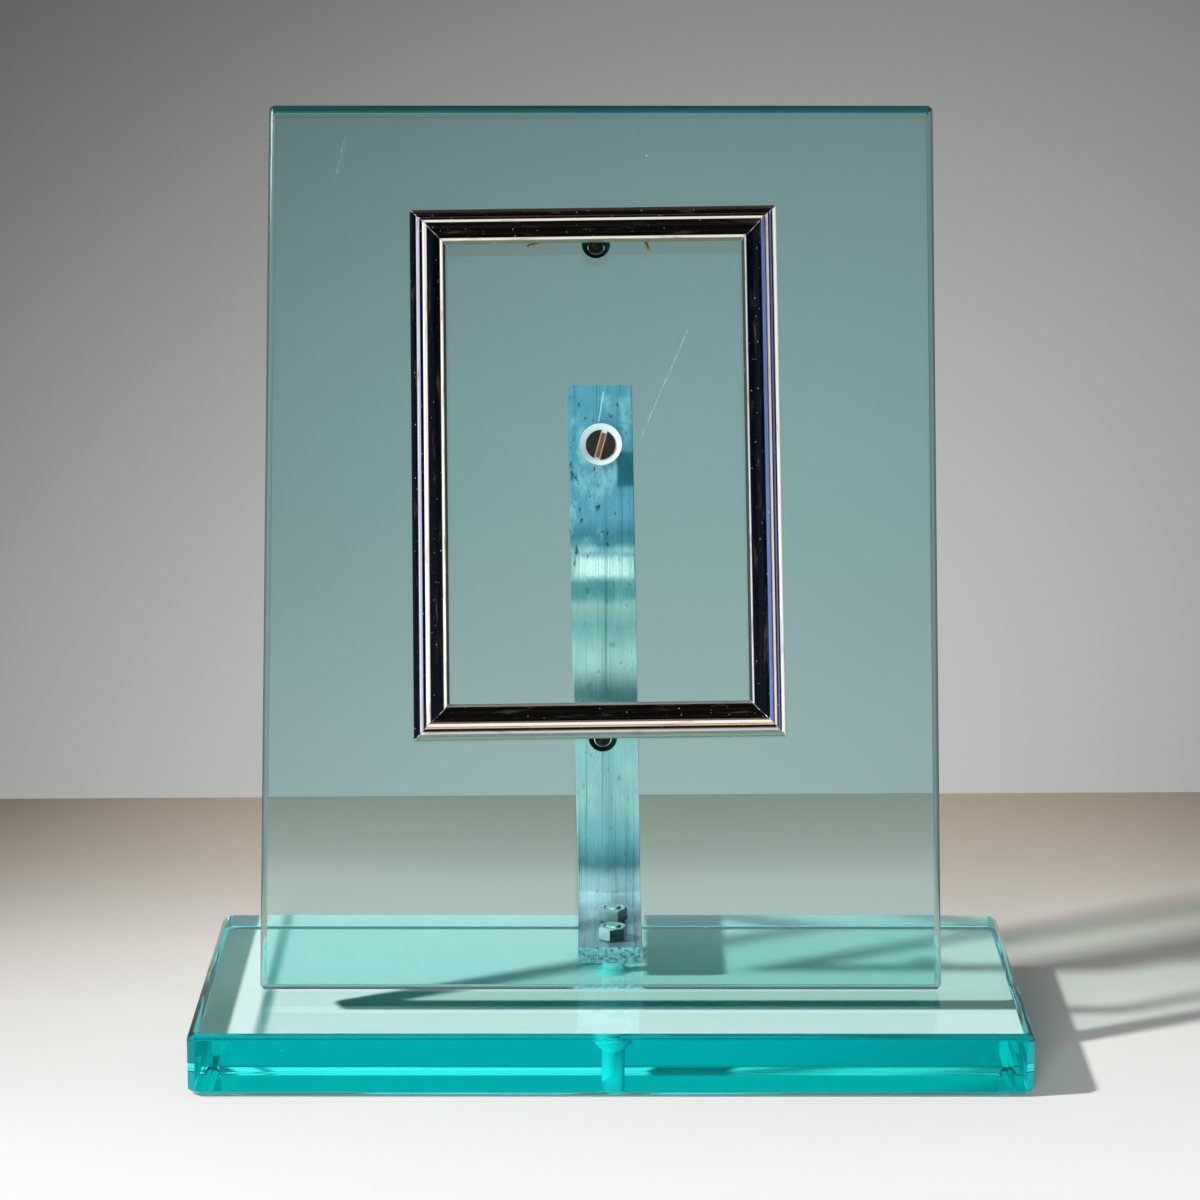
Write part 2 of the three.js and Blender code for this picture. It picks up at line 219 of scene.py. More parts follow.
class Graph:
    """A node tree under construction."""

    def __init__(self, owner):
        self.owner = owner
        owner.use_nodes = True
        self.tree = owner.node_tree
        self.tree.nodes.clear()

    def add(self, kind, inputs=None, **settings):
        node = self.tree.nodes.new(kind)
        for name, value in settings.items():
            setattr(node, name, value)
        for key, value in (inputs or {}).items():
            self.feed(node.inputs[key], value)
        return node

    def feed(self, socket, value):
        if isinstance(value, bpy.types.NodeSocket):
            self.tree.links.new(value, socket)
        else:
            socket.default_value = value

    def math(self, operation, a, b=0.0, c=0.0):
        inputs = {0: a, 1: b, 2: c}
        return self.add("ShaderNodeMath", inputs, operation=operation).outputs[0]

    def times(self, a, b):
        return self.math("MULTIPLY", a, b)

    def smooth(self, value, start, end, low=0.0, high=1.0):
        inputs = {"Value": value, 1: start, 2: end, 3: low, 4: high}
        kind = "SMOOTHSTEP"
        return self.add("ShaderNodeMapRange", inputs, interpolation_type=kind).outputs[0]

    def bell(self, value, centre, width):
        """A Gaussian bump of height 1."""
        away = self.math("DIVIDE", self.math("SUBTRACT", value, centre), width)
        return self.math("EXPONENT", self.times(self.times(away, away), -0.5))

    def apart(self, value, centre):
        """Distance from a centre."""
        return self.math("ABSOLUTE", self.math("SUBTRACT", value, centre))

    def band(self, value, start, full, fade, end):
        """1 from full to fade, falling to 0 at start and at end."""
        rise = self.smooth(value, start, full)
        return self.times(rise, self.smooth(value, end, fade))

    def line(self, u, v, start, end, width):
        """1 on the straight line from start to end in the plane (u, v), 0 beside it."""
        along = Vector(end) - Vector(start)
        length = along.length
        unit = along / length
        du = self.math("SUBTRACT", u, start[0])
        dv = self.math("SUBTRACT", v, start[1])
        run = self.math("MULTIPLY_ADD", du, unit.x, self.times(dv, unit.y))
        off = self.math("MULTIPLY_ADD", du, unit.y, self.times(dv, -unit.x))
        near = self.smooth(self.math("ABSOLUTE", off), width, width * LINE_CORE)
        inside = self.smooth(self.apart(run, length / 2), length / 2, length * LINE_TAPER)
        return self.times(near, inside)

    def mix(self, factor, a, b, blend="MIX"):
        node = self.add("ShaderNodeMix", data_type="RGBA", blend_type=blend)
        self.feed(node.inputs["Factor"], factor)
        self.feed(node.inputs[6], a)
        self.feed(node.inputs[7], b)
        return node.outputs[2]

    def ramp(self, factor, stops):
        node = self.add("ShaderNodeValToRGB", {"Fac": factor})
        elements = node.color_ramp.elements
        while len(elements) < len(stops):
            elements.new(1.0)
        for element, (position, colour) in zip(elements, stops):
            element.position = position
            element.color = colour
        return node.outputs["Color"]

    def place(self, kind="Object"):
        return self.add("ShaderNodeTexCoord").outputs[kind]

    def scaled(self, vector, scale, turn=(0.0, 0.0, 0.0)):
        inputs = {"Vector": vector, "Scale": scale, "Rotation": turn}
        return self.add("ShaderNodeMapping", inputs).outputs[0]

    def axes(self, vector):
        return self.add("ShaderNodeSeparateXYZ", {0: vector}).outputs

    def noise(self, vector, scale, detail=3.0, rough=0.55):
        inputs = {"Vector": vector, "Scale": scale, "Detail": detail, "Roughness": rough}
        return self.add("ShaderNodeTexNoise", inputs).outputs["Fac"]

    def streaks(self, vector, scale, detail, rough=0.55):
        """Noise with a scale of its own along each axis."""
        return self.noise(self.scaled(vector, scale), 1.0, detail, rough)

    def dot(self, vector, direction):
        inputs = {0: vector, 1: direction}
        return self.add("ShaderNodeVectorMath", inputs, operation="DOT_PRODUCT").outputs["Value"]

    def bump(self, height, strength, distance):
        inputs = {"Height": height, "Strength": strength, "Distance": distance}
        return self.add("ShaderNodeBump", inputs).outputs[0]

    def principled(self, **values):
        inputs = {name.replace("_", " "): value for name, value in values.items()}
        return self.add("ShaderNodeBsdfPrincipled", inputs).outputs[0]

    def blend(self, factor, a, b):
        return self.add("ShaderNodeMixShader", {0: factor, 1: a, 2: b}).outputs[0]

    def finish(self, surface):
        """Ends a material and gives it back."""
        self.add("ShaderNodeOutputMaterial", {"Surface": surface})
        return self.owner

    def finish_glass(self, surface, lamp_tint):
        """Ends a glass material. Lamp light goes straight through it, coloured by lamp_tint."""
        through = self.add("ShaderNodeBsdfTransparent", {0: lamp_tint}).outputs[0]
        lamp = self.add("ShaderNodeLightPath").outputs["Is Shadow Ray"]
        return self.finish(self.blend(lamp, surface, through))


def rgb(red, green, blue):
    return (red, green, blue, 1.0)


def grey(value):
    return rgb(value, value, value)


def greys(*stops):
    return [(position, grey(value)) for position, value in stops]


WHITE = grey(1.0)


def material(name):
    return Graph(bpy.data.materials.new(name))


# Finishes

GLASS_IOR = 1.52

# Lamp light through the base's rim: the place of its left and right sides, and its colours there
RIM_X = 0.12
RIM_BLEND = 0.001
RIM_LIT = rgb(2.4, 1.48, 1.46)
RIM_DARK = rgb(0.0, 0.02, 0.015)

# Dust specks: cells to the metre, how few of the cells have one, and a speck's edge in its cell
SPECK_CELLS = 60.0
SPECK_CHANCE = (0.8, 0.82)
SPECK_EDGE = (0.026, 0.014)
SPECK_STRENGTH = 0.6
DUST = rgb(0.85, 0.95, 0.94)

# Hair scratches on the panel: start, end and strength
SCRATCH_WIDTH = 0.00015
PANEL_SCRATCHES = [
    ((0.0275, 0.204), (0.012, 0.168), 0.2),
    ((-0.0787, 0.2646), (-0.0821, 0.2503), 0.15),
]

# Where the panel's colour turns to the lighter colour of its foot, which is painted light that
# brightens what is seen through it, and the share of a rim's colour in depth
FOOT_FADE = (0.034, 0.024)
CORE_SHARE = 0.3


def rim_light(g, spot, plain):
    """Lamp light's colour: it enters over the left rim's upper half and ends at the right rim."""
    x, _, z = g.axes(spot)
    middle = BASE_THICKNESS / 2 * MM
    left = g.smooth(x, -RIM_X, -RIM_X - RIM_BLEND)
    high = g.smooth(z, middle, middle + RIM_BLEND)
    lit = g.mix(g.times(left, high), plain, RIM_LIT)
    return g.mix(g.smooth(x, RIM_X, RIM_X + RIM_BLEND), lit, RIM_DARK)


def marks(g, spot, scratches):
    """How far dust specks and broken hair scratches cover the glass."""
    cell = g.add("ShaderNodeTexVoronoi", {"Vector": spot, "Scale": SPECK_CELLS}).outputs
    rare = g.smooth(g.axes(cell["Color"])[0], *SPECK_CHANCE)
    speck = g.times(g.smooth(cell["Distance"], *SPECK_EDGE), rare)
    cover = g.times(speck, SPECK_STRENGTH)
    for start, end, strength in scratches:
        line = g.line(*g.axes(spot)[:2], start, end, SCRATCH_WIDTH)
        broken = g.smooth(g.noise(spot, scale=900.0, detail=2.0), 0.4, 0.6, 0.0, strength)
        cover = g.math("MAXIMUM", cover, g.times(line, broken))
    return cover


def glass(
    name, tint, worn_tint, lamp_tint, gloss=WHITE, lamp_map=None, foot_tint=None, scratches=(),
    core=None,
):
    """Polished glass, coloured by its faces.

    lamp_map changes lamp_tint over the piece, and foot_tint is the lighter colour of the panel's
    foot: painted light that brightens what is seen through it.
    A rim with a core colour also shows the colour that the plate has in depth.
    """
    g = material(name)
    spot = g.place()
    cloud = g.noise(spot, scale=30.0)
    clear = g.mix(cloud, tint, worn_tint)
    # Painted light: a lighter foot brightens what is seen through it
    if foot_tint:
        clear = g.mix(g.smooth(g.axes(spot)[1], *FOOT_FADE), clear, foot_tint)
    body = g.principled(
        Base_Color=clear,
        Roughness=0.0,
        IOR=GLASS_IOR,
        Specular_Tint=gloss,
        Transmission_Weight=1.0,
        Normal=g.bump(g.noise(spot, scale=18.0, detail=1.0), strength=0.02, distance=0.0004),
    )
    dusty = g.principled(Base_Color=DUST, Roughness=0.8)
    surface = g.blend(marks(g, spot, scratches), body, dusty)
    if core:
        depth = g.principled(Base_Color=g.mix(cloud, core, tint), Roughness=0.4)
        surface = g.blend(CORE_SHARE, surface, depth)
    return g.finish_glass(surface, lamp_map(g, spot, lamp_tint) if lamp_map else lamp_tint)


def ground_glass(name, lamp_tint, dull, bright):
    """Drilled and ground glass: pale and rough."""
    g = material(name)
    grain = g.noise(g.place(), scale=1800.0, detail=2.0)
    frost = g.principled(
        Base_Color=g.mix(grain, dull, bright),
        Roughness=0.45,
        IOR=GLASS_IOR,
        Transmission_Weight=0.35,
        Normal=g.bump(grain, strength=0.6, distance=0.0002),
    )
    return g.finish_glass(frost, lamp_tint)


def shaded_bore_glass():
    """The wall of a small drilled hole, opaque and deep green: painted shade that makes the hole
    look dark.
    """
    g = material("shaded_bore_glass")
    cloud = g.noise(g.place(), scale=260.0, detail=2.0)
    return g.finish(g.principled(
        Base_Color=g.mix(cloud, rgb(0.0, 0.02, 0.02), rgb(0.0, 0.14, 0.12)),
        Roughness=0.12,
        IOR=GLASS_IOR,
    ))


# Painted highlights, shade and reflections along the bar (a bright knee band with a dark band under
# it, a pale lower leg, a bluish upper part): height as a share of the top height set next, and the
# colour painted there
BAR_PAINTED_LIGHT_TOP = 0.2
BAR_PAINTED_LIGHT = [
    (0.0, rgb(0.42, 0.5, 0.58)), (0.122, rgb(0.5, 0.58, 0.66)), (0.135, rgb(0.8, 0.84, 0.92)),
    (0.165, rgb(0.9, 0.9, 0.96)), (0.19, rgb(0.2, 0.36, 0.44)), (0.24, rgb(0.58, 0.78, 0.9)),
    (0.3, rgb(0.98, 0.97, 1.0)), (0.45, rgb(0.98, 0.97, 1.0)), (0.565, WHITE),
    (0.606, rgb(0.52, 0.69, 0.73)), (0.642, rgb(0.95, 0.88, 0.85)), (0.654, rgb(0.3, 0.53, 0.57)),
    (0.666, rgb(0.22, 0.44, 0.51)), (0.68, rgb(0.3, 0.52, 0.55)), (0.69, WHITE),
    (0.727, WHITE), (0.737, rgb(0.22, 0.38, 0.45)), (0.75, rgb(0.13, 0.3, 0.39)),
    (0.776, rgb(0.3, 0.5, 0.68)), (0.85, rgb(0.2, 0.43, 0.58)), (0.92, rgb(0.24, 0.45, 0.6)),
    (1.0, rgb(0.27, 0.48, 0.62)),
]

# Heights on the bar: its light knee, the dull leg below it, and where bloom and nicks get denser
KNEE_BAND = (0.1365, 0.1385, 0.1445, 0.1465)
LEG_BAND = (0.09, 0.105, 0.13, 0.136)
BLOOM_RISE = (0.12, 0.15)
NICK_RISE = (0.125, 0.15)

# The painted shadow that the screw throws on the bar beside it, the long scratch above the screw,
# and the filed end of the foot
SCREW_SHADOW_BAND = (0.1635, 0.1655, 0.174, 0.1755)
SCREW_SHADOW_EDGE = (0.0016, 0.0026)
BAR_SCRATCH = ((-0.0021, 0.1929), (-0.0037, 0.1831))
BAR_SCRATCH_WIDTH = 0.00026
FILED_END = (0.0078, 0.0076)

# Metallic share of the bar, more on the knee and less on the leg
BAR_METALLIC = 0.25
KNEE_METALLIC = 0.5
LEG_METALLIC = 0.2


def bar_colour(g, spot, lines):
    """Smudged metal with dark die lines, painted highlights, shade and reflections along its length,
    bloom, a painted screw shadow, a scratch and nicks.
    """
    x, _, z = g.axes(spot)
    smudge = g.smooth(g.streaks(spot, (150.0, 60.0, 60.0), 5.0, 0.65), 0.38, 0.66)
    shade = g.mix(smudge, rgb(0.78, 0.85, 0.88), rgb(0.98, 0.99, 0.99))
    shade = g.mix(g.smooth(lines, 0.5, 0.34), shade, rgb(0.38, 0.47, 0.52))
    waves = g.streaks(spot, (90.0, 40.0, 40.0), 3.0)
    uneven = g.math("MULTIPLY_ADD", waves, 0.004, -0.002)
    height = g.math("DIVIDE", g.math("ADD", z, uneven), BAR_PAINTED_LIGHT_TOP)
    # Painted highlights, shade and reflections, by height up the bar
    shade = g.mix(1.0, shade, g.ramp(height, BAR_PAINTED_LIGHT), "MULTIPLY")
    bloom = g.smooth(g.streaks(spot, (120.0, 70.0, 70.0), 6.0, 0.7), 0.5, 0.68)
    bloom = g.times(bloom, g.smooth(z, *BLOOM_RISE, 0.25, 0.6))
    shade = g.mix(bloom, shade, rgb(0.8, 0.9, 0.97))
    # Painted shadow: the screw's shadow on the bar, to its right and below it
    screw_shadow = g.times(g.band(z, *SCREW_SHADOW_BAND), g.smooth(x, *SCREW_SHADOW_EDGE, 0.0, 0.9))
    shade = g.mix(screw_shadow, shade, rgb(0.01, 0.13, 0.15))
    shade = g.mix(g.line(x, z, *BAR_SCRATCH, BAR_SCRATCH_WIDTH), shade, WHITE)
    nick = g.smooth(g.streaks(spot, (520.0, 300.0, 300.0), 3.0), 0.63, 0.69)
    nick = g.times(nick, g.smooth(z, *NICK_RISE, 0.3, 0.9))
    return g.mix(nick, shade, rgb(0.02, 0.05, 0.05))


def drawn_aluminium():
    """Flat bar with die lines along its length and a filed end."""
    g = material("drawn_aluminium")
    spot = g.place()
    _, y, z = g.axes(spot)
    fine = g.streaks(spot, (2600.0, 14.0, 14.0), 4.0)
    broad = g.streaks(spot, (420.0, 5.0, 5.0), 2.0)
    lines = g.math("ADD", g.times(fine, 0.6), g.times(broad, 0.4))
    filed = g.streaks(spot, (700.0, 700.0, 1100.0), 4.0, 0.7)
    rough = g.mix(g.smooth(filed, 0.35, 0.6), rgb(0.08, 0.24, 0.27), rgb(0.5, 0.7, 0.76))
    end = g.smooth(y, *FILED_END)
    knee = g.times(g.band(z, *KNEE_BAND), KNEE_METALLIC)
    leg = g.times(g.band(z, *LEG_BAND), LEG_METALLIC)
    return g.finish(g.principled(
        Base_Color=g.mix(end, bar_colour(g, spot, lines), rough),
        Metallic=g.math("ADD", g.math("SUBTRACT", knee, leg), BAR_METALLIC),
        Roughness=g.smooth(lines, 0.2, 0.8, 0.36, 0.2),
        Normal=g.bump(g.mix(end, lines, filed), strength=0.3, distance=0.0001),
    ))


# Painted shading on plated steel, from the side away from the key lamp to the side that faces it
KEY_LIT_SIDE = Vector((-0.75, -0.35, 0.55)).normalized()
PLATE_PAINTED_SHADING = [
    (0.3, rgb(0.3, 0.33, 0.33)), (0.43, rgb(0.006, 0.012, 0.012)), (0.56, rgb(0.02, 0.035, 0.035)),
    (0.64, rgb(0.16, 0.22, 0.22)), (0.72, rgb(0.9, 0.95, 0.95)), (1.0, WHITE),
]


def plated_steel():
    """Plate with painted shading: bright on the side that faces the key lamp, dark beside it and
    grey on the far side.
    """
    g = material("plated_steel")
    cloud = g.noise(g.place(), scale=420.0, detail=3.0)
    # Painted light and shade, by how squarely a face turns to the key lamp
    lit_facing = g.dot(g.place("Normal"), KEY_LIT_SIDE)
    level = g.math("MULTIPLY_ADD", cloud, 0.3, lit_facing)
    return g.finish(g.principled(
        Base_Color=g.ramp(g.math("MULTIPLY_ADD", level, 0.4, 0.45), PLATE_PAINTED_SHADING),
        Metallic=0.7,
        Roughness=g.smooth(cloud, 0.3, 0.7, 0.1, 0.22),
        Normal=g.bump(cloud, strength=0.1, distance=0.0001),
    ))


# The panel screw's head: depth at which it ends, depth of its slot's floor, and its slot's lip
HEAD_END = (0.0016, 0.0014)
SLOT_FLOOR = (0.0009, 0.00105)
SLOT_LIP = 0.00012
TURNED_RINGS = 9000.0


def dark_steel():
    """The panel screw: turned rings on a tarnished head, and a slot with a bright lip."""
    g = material("dark_steel")
    spot = g.place()
    x, y, z = g.axes(spot)
    squares = g.math("ADD", g.times(x, x), g.times(y, y))
    rings = g.math("SINE", g.times(g.math("SQRT", squares), TURNED_RINGS))
    tarnish = g.noise(spot, scale=700.0, detail=4.0)
    shade = g.mix(tarnish, rgb(0.012, 0.009, 0.009), rgb(0.09, 0.07, 0.065))
    head = g.smooth(z, *HEAD_END)
    floor = g.times(g.smooth(z, *SLOT_FLOOR), head)
    shade = g.mix(floor, shade, rgb(0.32, 0.19, 0.11))
    turn = (0.0, 0.0, -math.radians(SLOT_TURN["panel"]))
    across = g.axes(g.scaled(spot, (1.0, 1.0, 1.0), turn))[0]
    lip = g.bell(g.math("ABSOLUTE", across), SLOT_WIDTH / 2 * MM, SLOT_LIP)
    shade = g.mix(g.times(lip, head), shade, rgb(0.95, 0.78, 0.6))
    return g.finish(g.principled(
        Base_Color=shade,
        Metallic=0.8,
        Roughness=0.32,
        Normal=g.bump(rings, strength=0.35, distance=0.00006),
    ))


CREAM = rgb(0.92, 0.88, 0.8)
TAN = rgb(0.82, 0.66, 0.5)
SILVER = rgb(0.92, 0.92, 0.88)
BLUE = rgb(0.12, 0.19, 0.42)
PALE_BLUE = rgb(0.42, 0.5, 0.74)
NAVY = rgb(0.002, 0.003, 0.008)
BLACK = rgb(0.004, 0.0035, 0.003)
UMBER = rgb(0.035, 0.027, 0.022)
BROWN = rgb(0.16, 0.13, 0.11)
MOSS = rgb(0.05, 0.075, 0.055)

# Painted reflections and highlights in bands from a rail's outer edge inwards, different on each
# rail: share of its width at which the band ends, and its colour
RAIL_REFLECTION_BANDS = {
    "top": [
        (0.07, UMBER), (0.2, BLACK), (0.25, UMBER), (0.325, BLACK), (0.395, CREAM), (0.84, BLACK),
        (0.92, CREAM), (1.0, rgb(0.2, 0.25, 0.18)),
    ],
    "left": [
        (0.14, NAVY), (0.185, CREAM), (0.235, PALE_BLUE), (0.335, NAVY), (0.46, SILVER),
        (0.84, NAVY), (0.92, CREAM), (1.0, MOSS),
    ],
    "bottom": [
        (0.12, rgb(0.2, 0.28, 0.24)), (0.19, WHITE), (0.27, BLACK), (0.34, TAN), (0.4, CREAM),
        (0.46, BROWN), (0.91, BLACK), (1.0, rgb(0.3, 0.28, 0.25)),
    ],
    "right": [
        (0.07, SILVER), (0.12, BLACK), (0.17, BLUE), (0.21, BLACK), (0.28, TAN), (0.42, BLUE),
        (0.87, NAVY), (0.91, rgb(0.75, 0.72, 0.82)), (1.0, MOSS),
    ],
}
BAND_EDGE = 0.012


def plated_moulding(side):
    """Painted reflections in bands across the rail, bright on the crests and dark in the grooves and
    the cove, with wear and painted glints.
    """
    g = material(f"plated_moulding_{side}")
    spot = g.place()
    inward = g.math("DIVIDE", g.axes(spot)[1], -RAIL_WIDTH * MM)
    stops = []
    start = 0.0
    for end, colour in RAIL_REFLECTION_BANDS[side]:
        stops += [(start + BAND_EDGE, colour), (end - BAND_EDGE, colour)]
        start = end
    # Painted reflections: the rail's bands from its outer edge inwards
    across = g.ramp(inward, stops)
    wear = g.streaks(spot, (60.0, 500.0, 500.0), 4.0)
    wear_and_glints = g.mix(g.smooth(wear, 0.56, 0.72), across, rgb(0.1, 0.08, 0.06))
    # Painted glints: small bright specks on the plate, over the wear
    glint = g.streaks(spot, (900.0, 900.0, 900.0), 2.0)
    wear_and_glints = g.mix(g.smooth(glint, 0.7, 0.76), wear_and_glints, rgb(0.7, 0.72, 0.78))
    uneven = g.streaks(spot, (40.0, 220.0, 220.0), 2.0)
    return g.finish(g.principled(
        Base_Color=g.mix(0.6, across, wear_and_glints),
        Metallic=0.5,
        Specular_IOR_Level=0.12,
        Roughness=g.smooth(wear, 0.3, 0.8, 0.08, 0.3),
        Normal=g.bump(uneven, strength=0.25, distance=0.0003),
    ))


def cloudy_metal(name, dull, bright, roughness, contrast=None):
    """Bare metal, clouded from dull to bright."""
    g = material(name)
    cloud = g.noise(g.place(), scale=900.0, detail=3.0)
    if contrast:
        cloud = g.smooth(cloud, *contrast)
    shade = g.mix(cloud, dull, bright)
    return g.finish(g.principled(Base_Color=shade, Metallic=1.0, Roughness=roughness))


BASE_FACE = glass(
    "base_face_glass", tint=rgb(0.25, 0.84, 0.83), worn_tint=rgb(0.28, 0.86, 0.85),
    lamp_tint=rgb(2.1, 1.38, 1.39), gloss=grey(0.1),
)
BASE_EDGE = glass(
    "base_edge_glass", tint=rgb(0.0005, 0.66, 0.68), worn_tint=rgb(0.001, 0.74, 0.76),
    lamp_tint=rgb(0.1, 0.16, 0.14), gloss=rgb(0.0, 0.7, 0.7), lamp_map=rim_light,
)
BASE_BEVEL_EDGE = glass(
    "base_bevel_glass", tint=rgb(0.0005, 0.4, 0.44), worn_tint=rgb(0.001, 0.5, 0.53),
    lamp_tint=rgb(0.3, 0.45, 0.43), gloss=rgb(0.0, 0.5, 0.5),
)
PANEL_FACE = glass(
    "panel_face_glass", tint=rgb(0.465, 0.72, 0.71), worn_tint=rgb(0.495, 0.74, 0.735),
    lamp_tint=rgb(0.8, 0.88, 0.84), foot_tint=rgb(0.57, 0.82, 0.81), scratches=PANEL_SCRATCHES,
)
PANEL_RIM = {
    "tint": rgb(0.5, 0.85, 0.85), "worn_tint": rgb(0.6, 0.9, 0.9), "lamp_tint": rgb(0.0, 0.02, 0.02),
}
PANEL_EDGE = glass("panel_edge_glass", **PANEL_RIM)
PANEL_SIDE_EDGE = glass("panel_side_edge_glass", **PANEL_RIM, core=rgb(0.02, 0.3, 0.3))
PANEL_TOP_EDGE = glass(
    "panel_top_edge_glass", tint=rgb(0.002, 0.1, 0.11), worn_tint=rgb(0.004, 0.16, 0.17),
    lamp_tint=rgb(0.06, 0.14, 0.12), gloss=rgb(0.3, 0.6, 0.6),
)
GROUND = ground_glass(
    "ground_glass", lamp_tint=rgb(0.6, 0.7, 0.7), dull=rgb(0.42, 0.62, 0.64),
    bright=rgb(0.92, 0.97, 0.97),
)
BASE_BORE = ground_glass(
    "base_bore_glass", lamp_tint=rgb(0.8, 1.0, 1.0), dull=rgb(0.1, 0.9, 0.93),
    bright=rgb(0.3, 1.0, 1.0),
)
SHADED_BORE = shaded_bore_glass()
ALUMINIUM = drawn_aluminium()
STEEL = plated_steel()
DARK = dark_steel()
NICKEL = {side: plated_moulding(side) for side in RAIL_REFLECTION_BANDS}
SOLDER = cloudy_metal(
    "solder", dull=rgb(0.7, 0.7, 0.68), bright=rgb(0.95, 0.95, 0.93), roughness=0.25
)
BRASS_LOOK = {"roughness": 0.3, "contrast": (0.35, 0.7)}
BRASS = cloudy_metal(
    "dull_brass", dull=rgb(0.36, 0.25, 0.1), bright=rgb(0.8, 0.62, 0.32), **BRASS_LOOK
)
# Painted shade: the pins are near black, so that the holes they sit in look dark
BRASS_IN_PAINTED_SHADE = cloudy_metal(
    "brass_in_painted_shade", dull=rgb(0.004, 0.02, 0.018), bright=rgb(0.06, 0.09, 0.06), **BRASS_LOOK
)


# Meshes


def strip(bm, first, second):
    """Faces between two rings. A ring of one vertex is a tip."""
    for i in range(max(len(first), len(second))):
        corners = [first[k % len(first)] for k in (i, i + 1)]
        corners += [second[k % len(second)] for k in (i + 1, i)]
        bm.faces.new(list(dict.fromkeys(corners)))


def skin(rings, smooth=True):
    """A closed solid through rings of points, with flat caps on rings of three points or more."""
    bm = bmesh.new()
    made = [[bm.verts.new(point) for point in ring] for ring in rings]
    for first, second in zip(made, made[1:]):
        strip(bm, first, second)
    for face in bm.faces:
        face.smooth = smooth
    for end in (made[0], made[-1]):
        if len(end) > 2:
            bm.faces.new(end)
    bmesh.ops.recalc_face_normals(bm, faces=bm.faces)
    return bm


def circle(radius, height, sides, ripple=None):
    points = []
    for i in range(sides):
        angle = 2 * math.pi * i / sides
        reach = radius - (ripple(angle, height) if ripple else 0.0)
        points.append((reach * math.cos(angle), reach * math.sin(angle), height))
    return points


def lathe(profile, sides=ROUND_SIDES):
    """A body of revolution about +Z from (radius, height) pairs, closed at both ends."""
    rings = [circle(radius, height, sides) for radius, height in profile]
    first, last = ([(0.0, 0.0, profile[end][1])] for end in (0, -1))
    return skin([first, *rings, last])


def link(name, data):
    """A new object in the scene."""
    obj = bpy.data.objects.new(name, data)
    scene.collection.objects.link(obj)
    return obj


def solid(name, bm, finishes, index=0):
    """An object in millimetres, all faces with one of its finishes."""
    for face in bm.faces:
        face.material_index = index
    mesh = bpy.data.meshes.new(name)
    bm.to_mesh(mesh)
    bm.free()
    for finish in finishes:
        mesh.materials.append(finish)
    return link(name, mesh)


def carve(obj, cutters, operation="DIFFERENCE"):
    """Cuts or joins a piece with cutters, which are removed together with their meshes."""
    for cutter in cutters:
        modifier = obj.modifiers.new(cutter.name, "BOOLEAN")
        modifier.operation = operation
        modifier.solver = "EXACT"
        modifier.object = cutter
    depsgraph = bpy.context.evaluated_depsgraph_get()
    mesh = bpy.data.meshes.new_from_object(obj.evaluated_get(depsgraph))
    obj.modifiers.clear()
    before = obj.data
    name = before.name
    obj.data = mesh
    bpy.data.meshes.remove(before)
    mesh.name = name
    for cutter in cutters:
        bpy.data.meshes.remove(cutter.data)
    return obj


def settle(obj, place, body, node=None, sharp=SHARP):
    """Scales a piece to metres, puts it in its place, ties it to its body and hides the CAD node it
    replaces.
    """
    obj.data.transform(Matrix.Scale(MM, 4))
    obj.data.set_sharp_from_angle(angle=math.radians(sharp))
    metres = place.copy()
    metres.translation = place.translation * MM
    obj.matrix_world = metres
    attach(obj, body)
    if node:
        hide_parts(node)


# Glass plates

# How squarely a face points along an axis: the faces and side rims, an upper bevel, the top rim
FLAT = 0.98
UPPER_BEVEL = (0.1, 0.9)
TOP_RIM = 0.3


def cut_corner_ring(width, height, corner, inset, z):
    """A rectangle with cut corners, drawn in by inset on all its sides."""
    x = width / 2 - inset
    y = height / 2 - inset
    c = corner - inset * (2 - math.sqrt(2))
    return [
        (-x + c, -y, z), (x - c, -y, z), (x, -y + c, z), (x, y - c, z),
        (x - c, y, z), (-x + c, y, z), (-x, y - c, z), (-x, -y + c, z),
    ]


def plate(name, width, height, thickness, bevel, corner, finishes):
    """A plate from z 0 up, bevelled round both faces, with its rims and bevels in finish 1."""
    edge = ((bevel, 0.0), (0.0, bevel), (0.0, thickness - bevel), (bevel, thickness))
    rings = [cut_corner_ring(width, height, corner, inset, z) for inset, z in edge]
    bm = skin(rings, smooth=False)
    bmesh.ops.bevel(bm, geom=bm.edges[:], offset=ARRIS, segments=2, affect="EDGES")
    obj = solid(name, bm, finishes)
    for face in obj.data.polygons:
        face.material_index = 0 if abs(face.normal.z) > FLAT else 1
    return obj


def drill(name, profile, finishes, finish, place, sides=HOLE_SIDES):
    """A cutter that leaves one of the piece's finishes on the walls it cuts."""
    cutter = solid(name, lathe(profile, sides), finishes, finishes.index(finish))
    cutter.data.transform(place)
    return cutter


def sunk_profile(hole, mouth, length):
    """A through hole along +Z with a 90 degree countersink at z 0."""
    return [
        (mouth / 2 + OVERRUN, -OVERRUN),
        (hole / 2, (mouth - hole) / 2),
        (hole / 2, length + OVERRUN),
    ]


def pin_hole_profile():
    """A hole through the panel along +Z, flared at its front."""
    flare = (PIN_MOUTH - PIN_BORE) / 2 / PIN_SINK
    return [
        (PIN_BORE / 2, -OVERRUN),
        (PIN_BORE / 2, PANEL_THICKNESS - PIN_SINK),
        (PIN_MOUTH / 2 + flare * OVERRUN, PANEL_THICKNESS + OVERRUN),
    ]


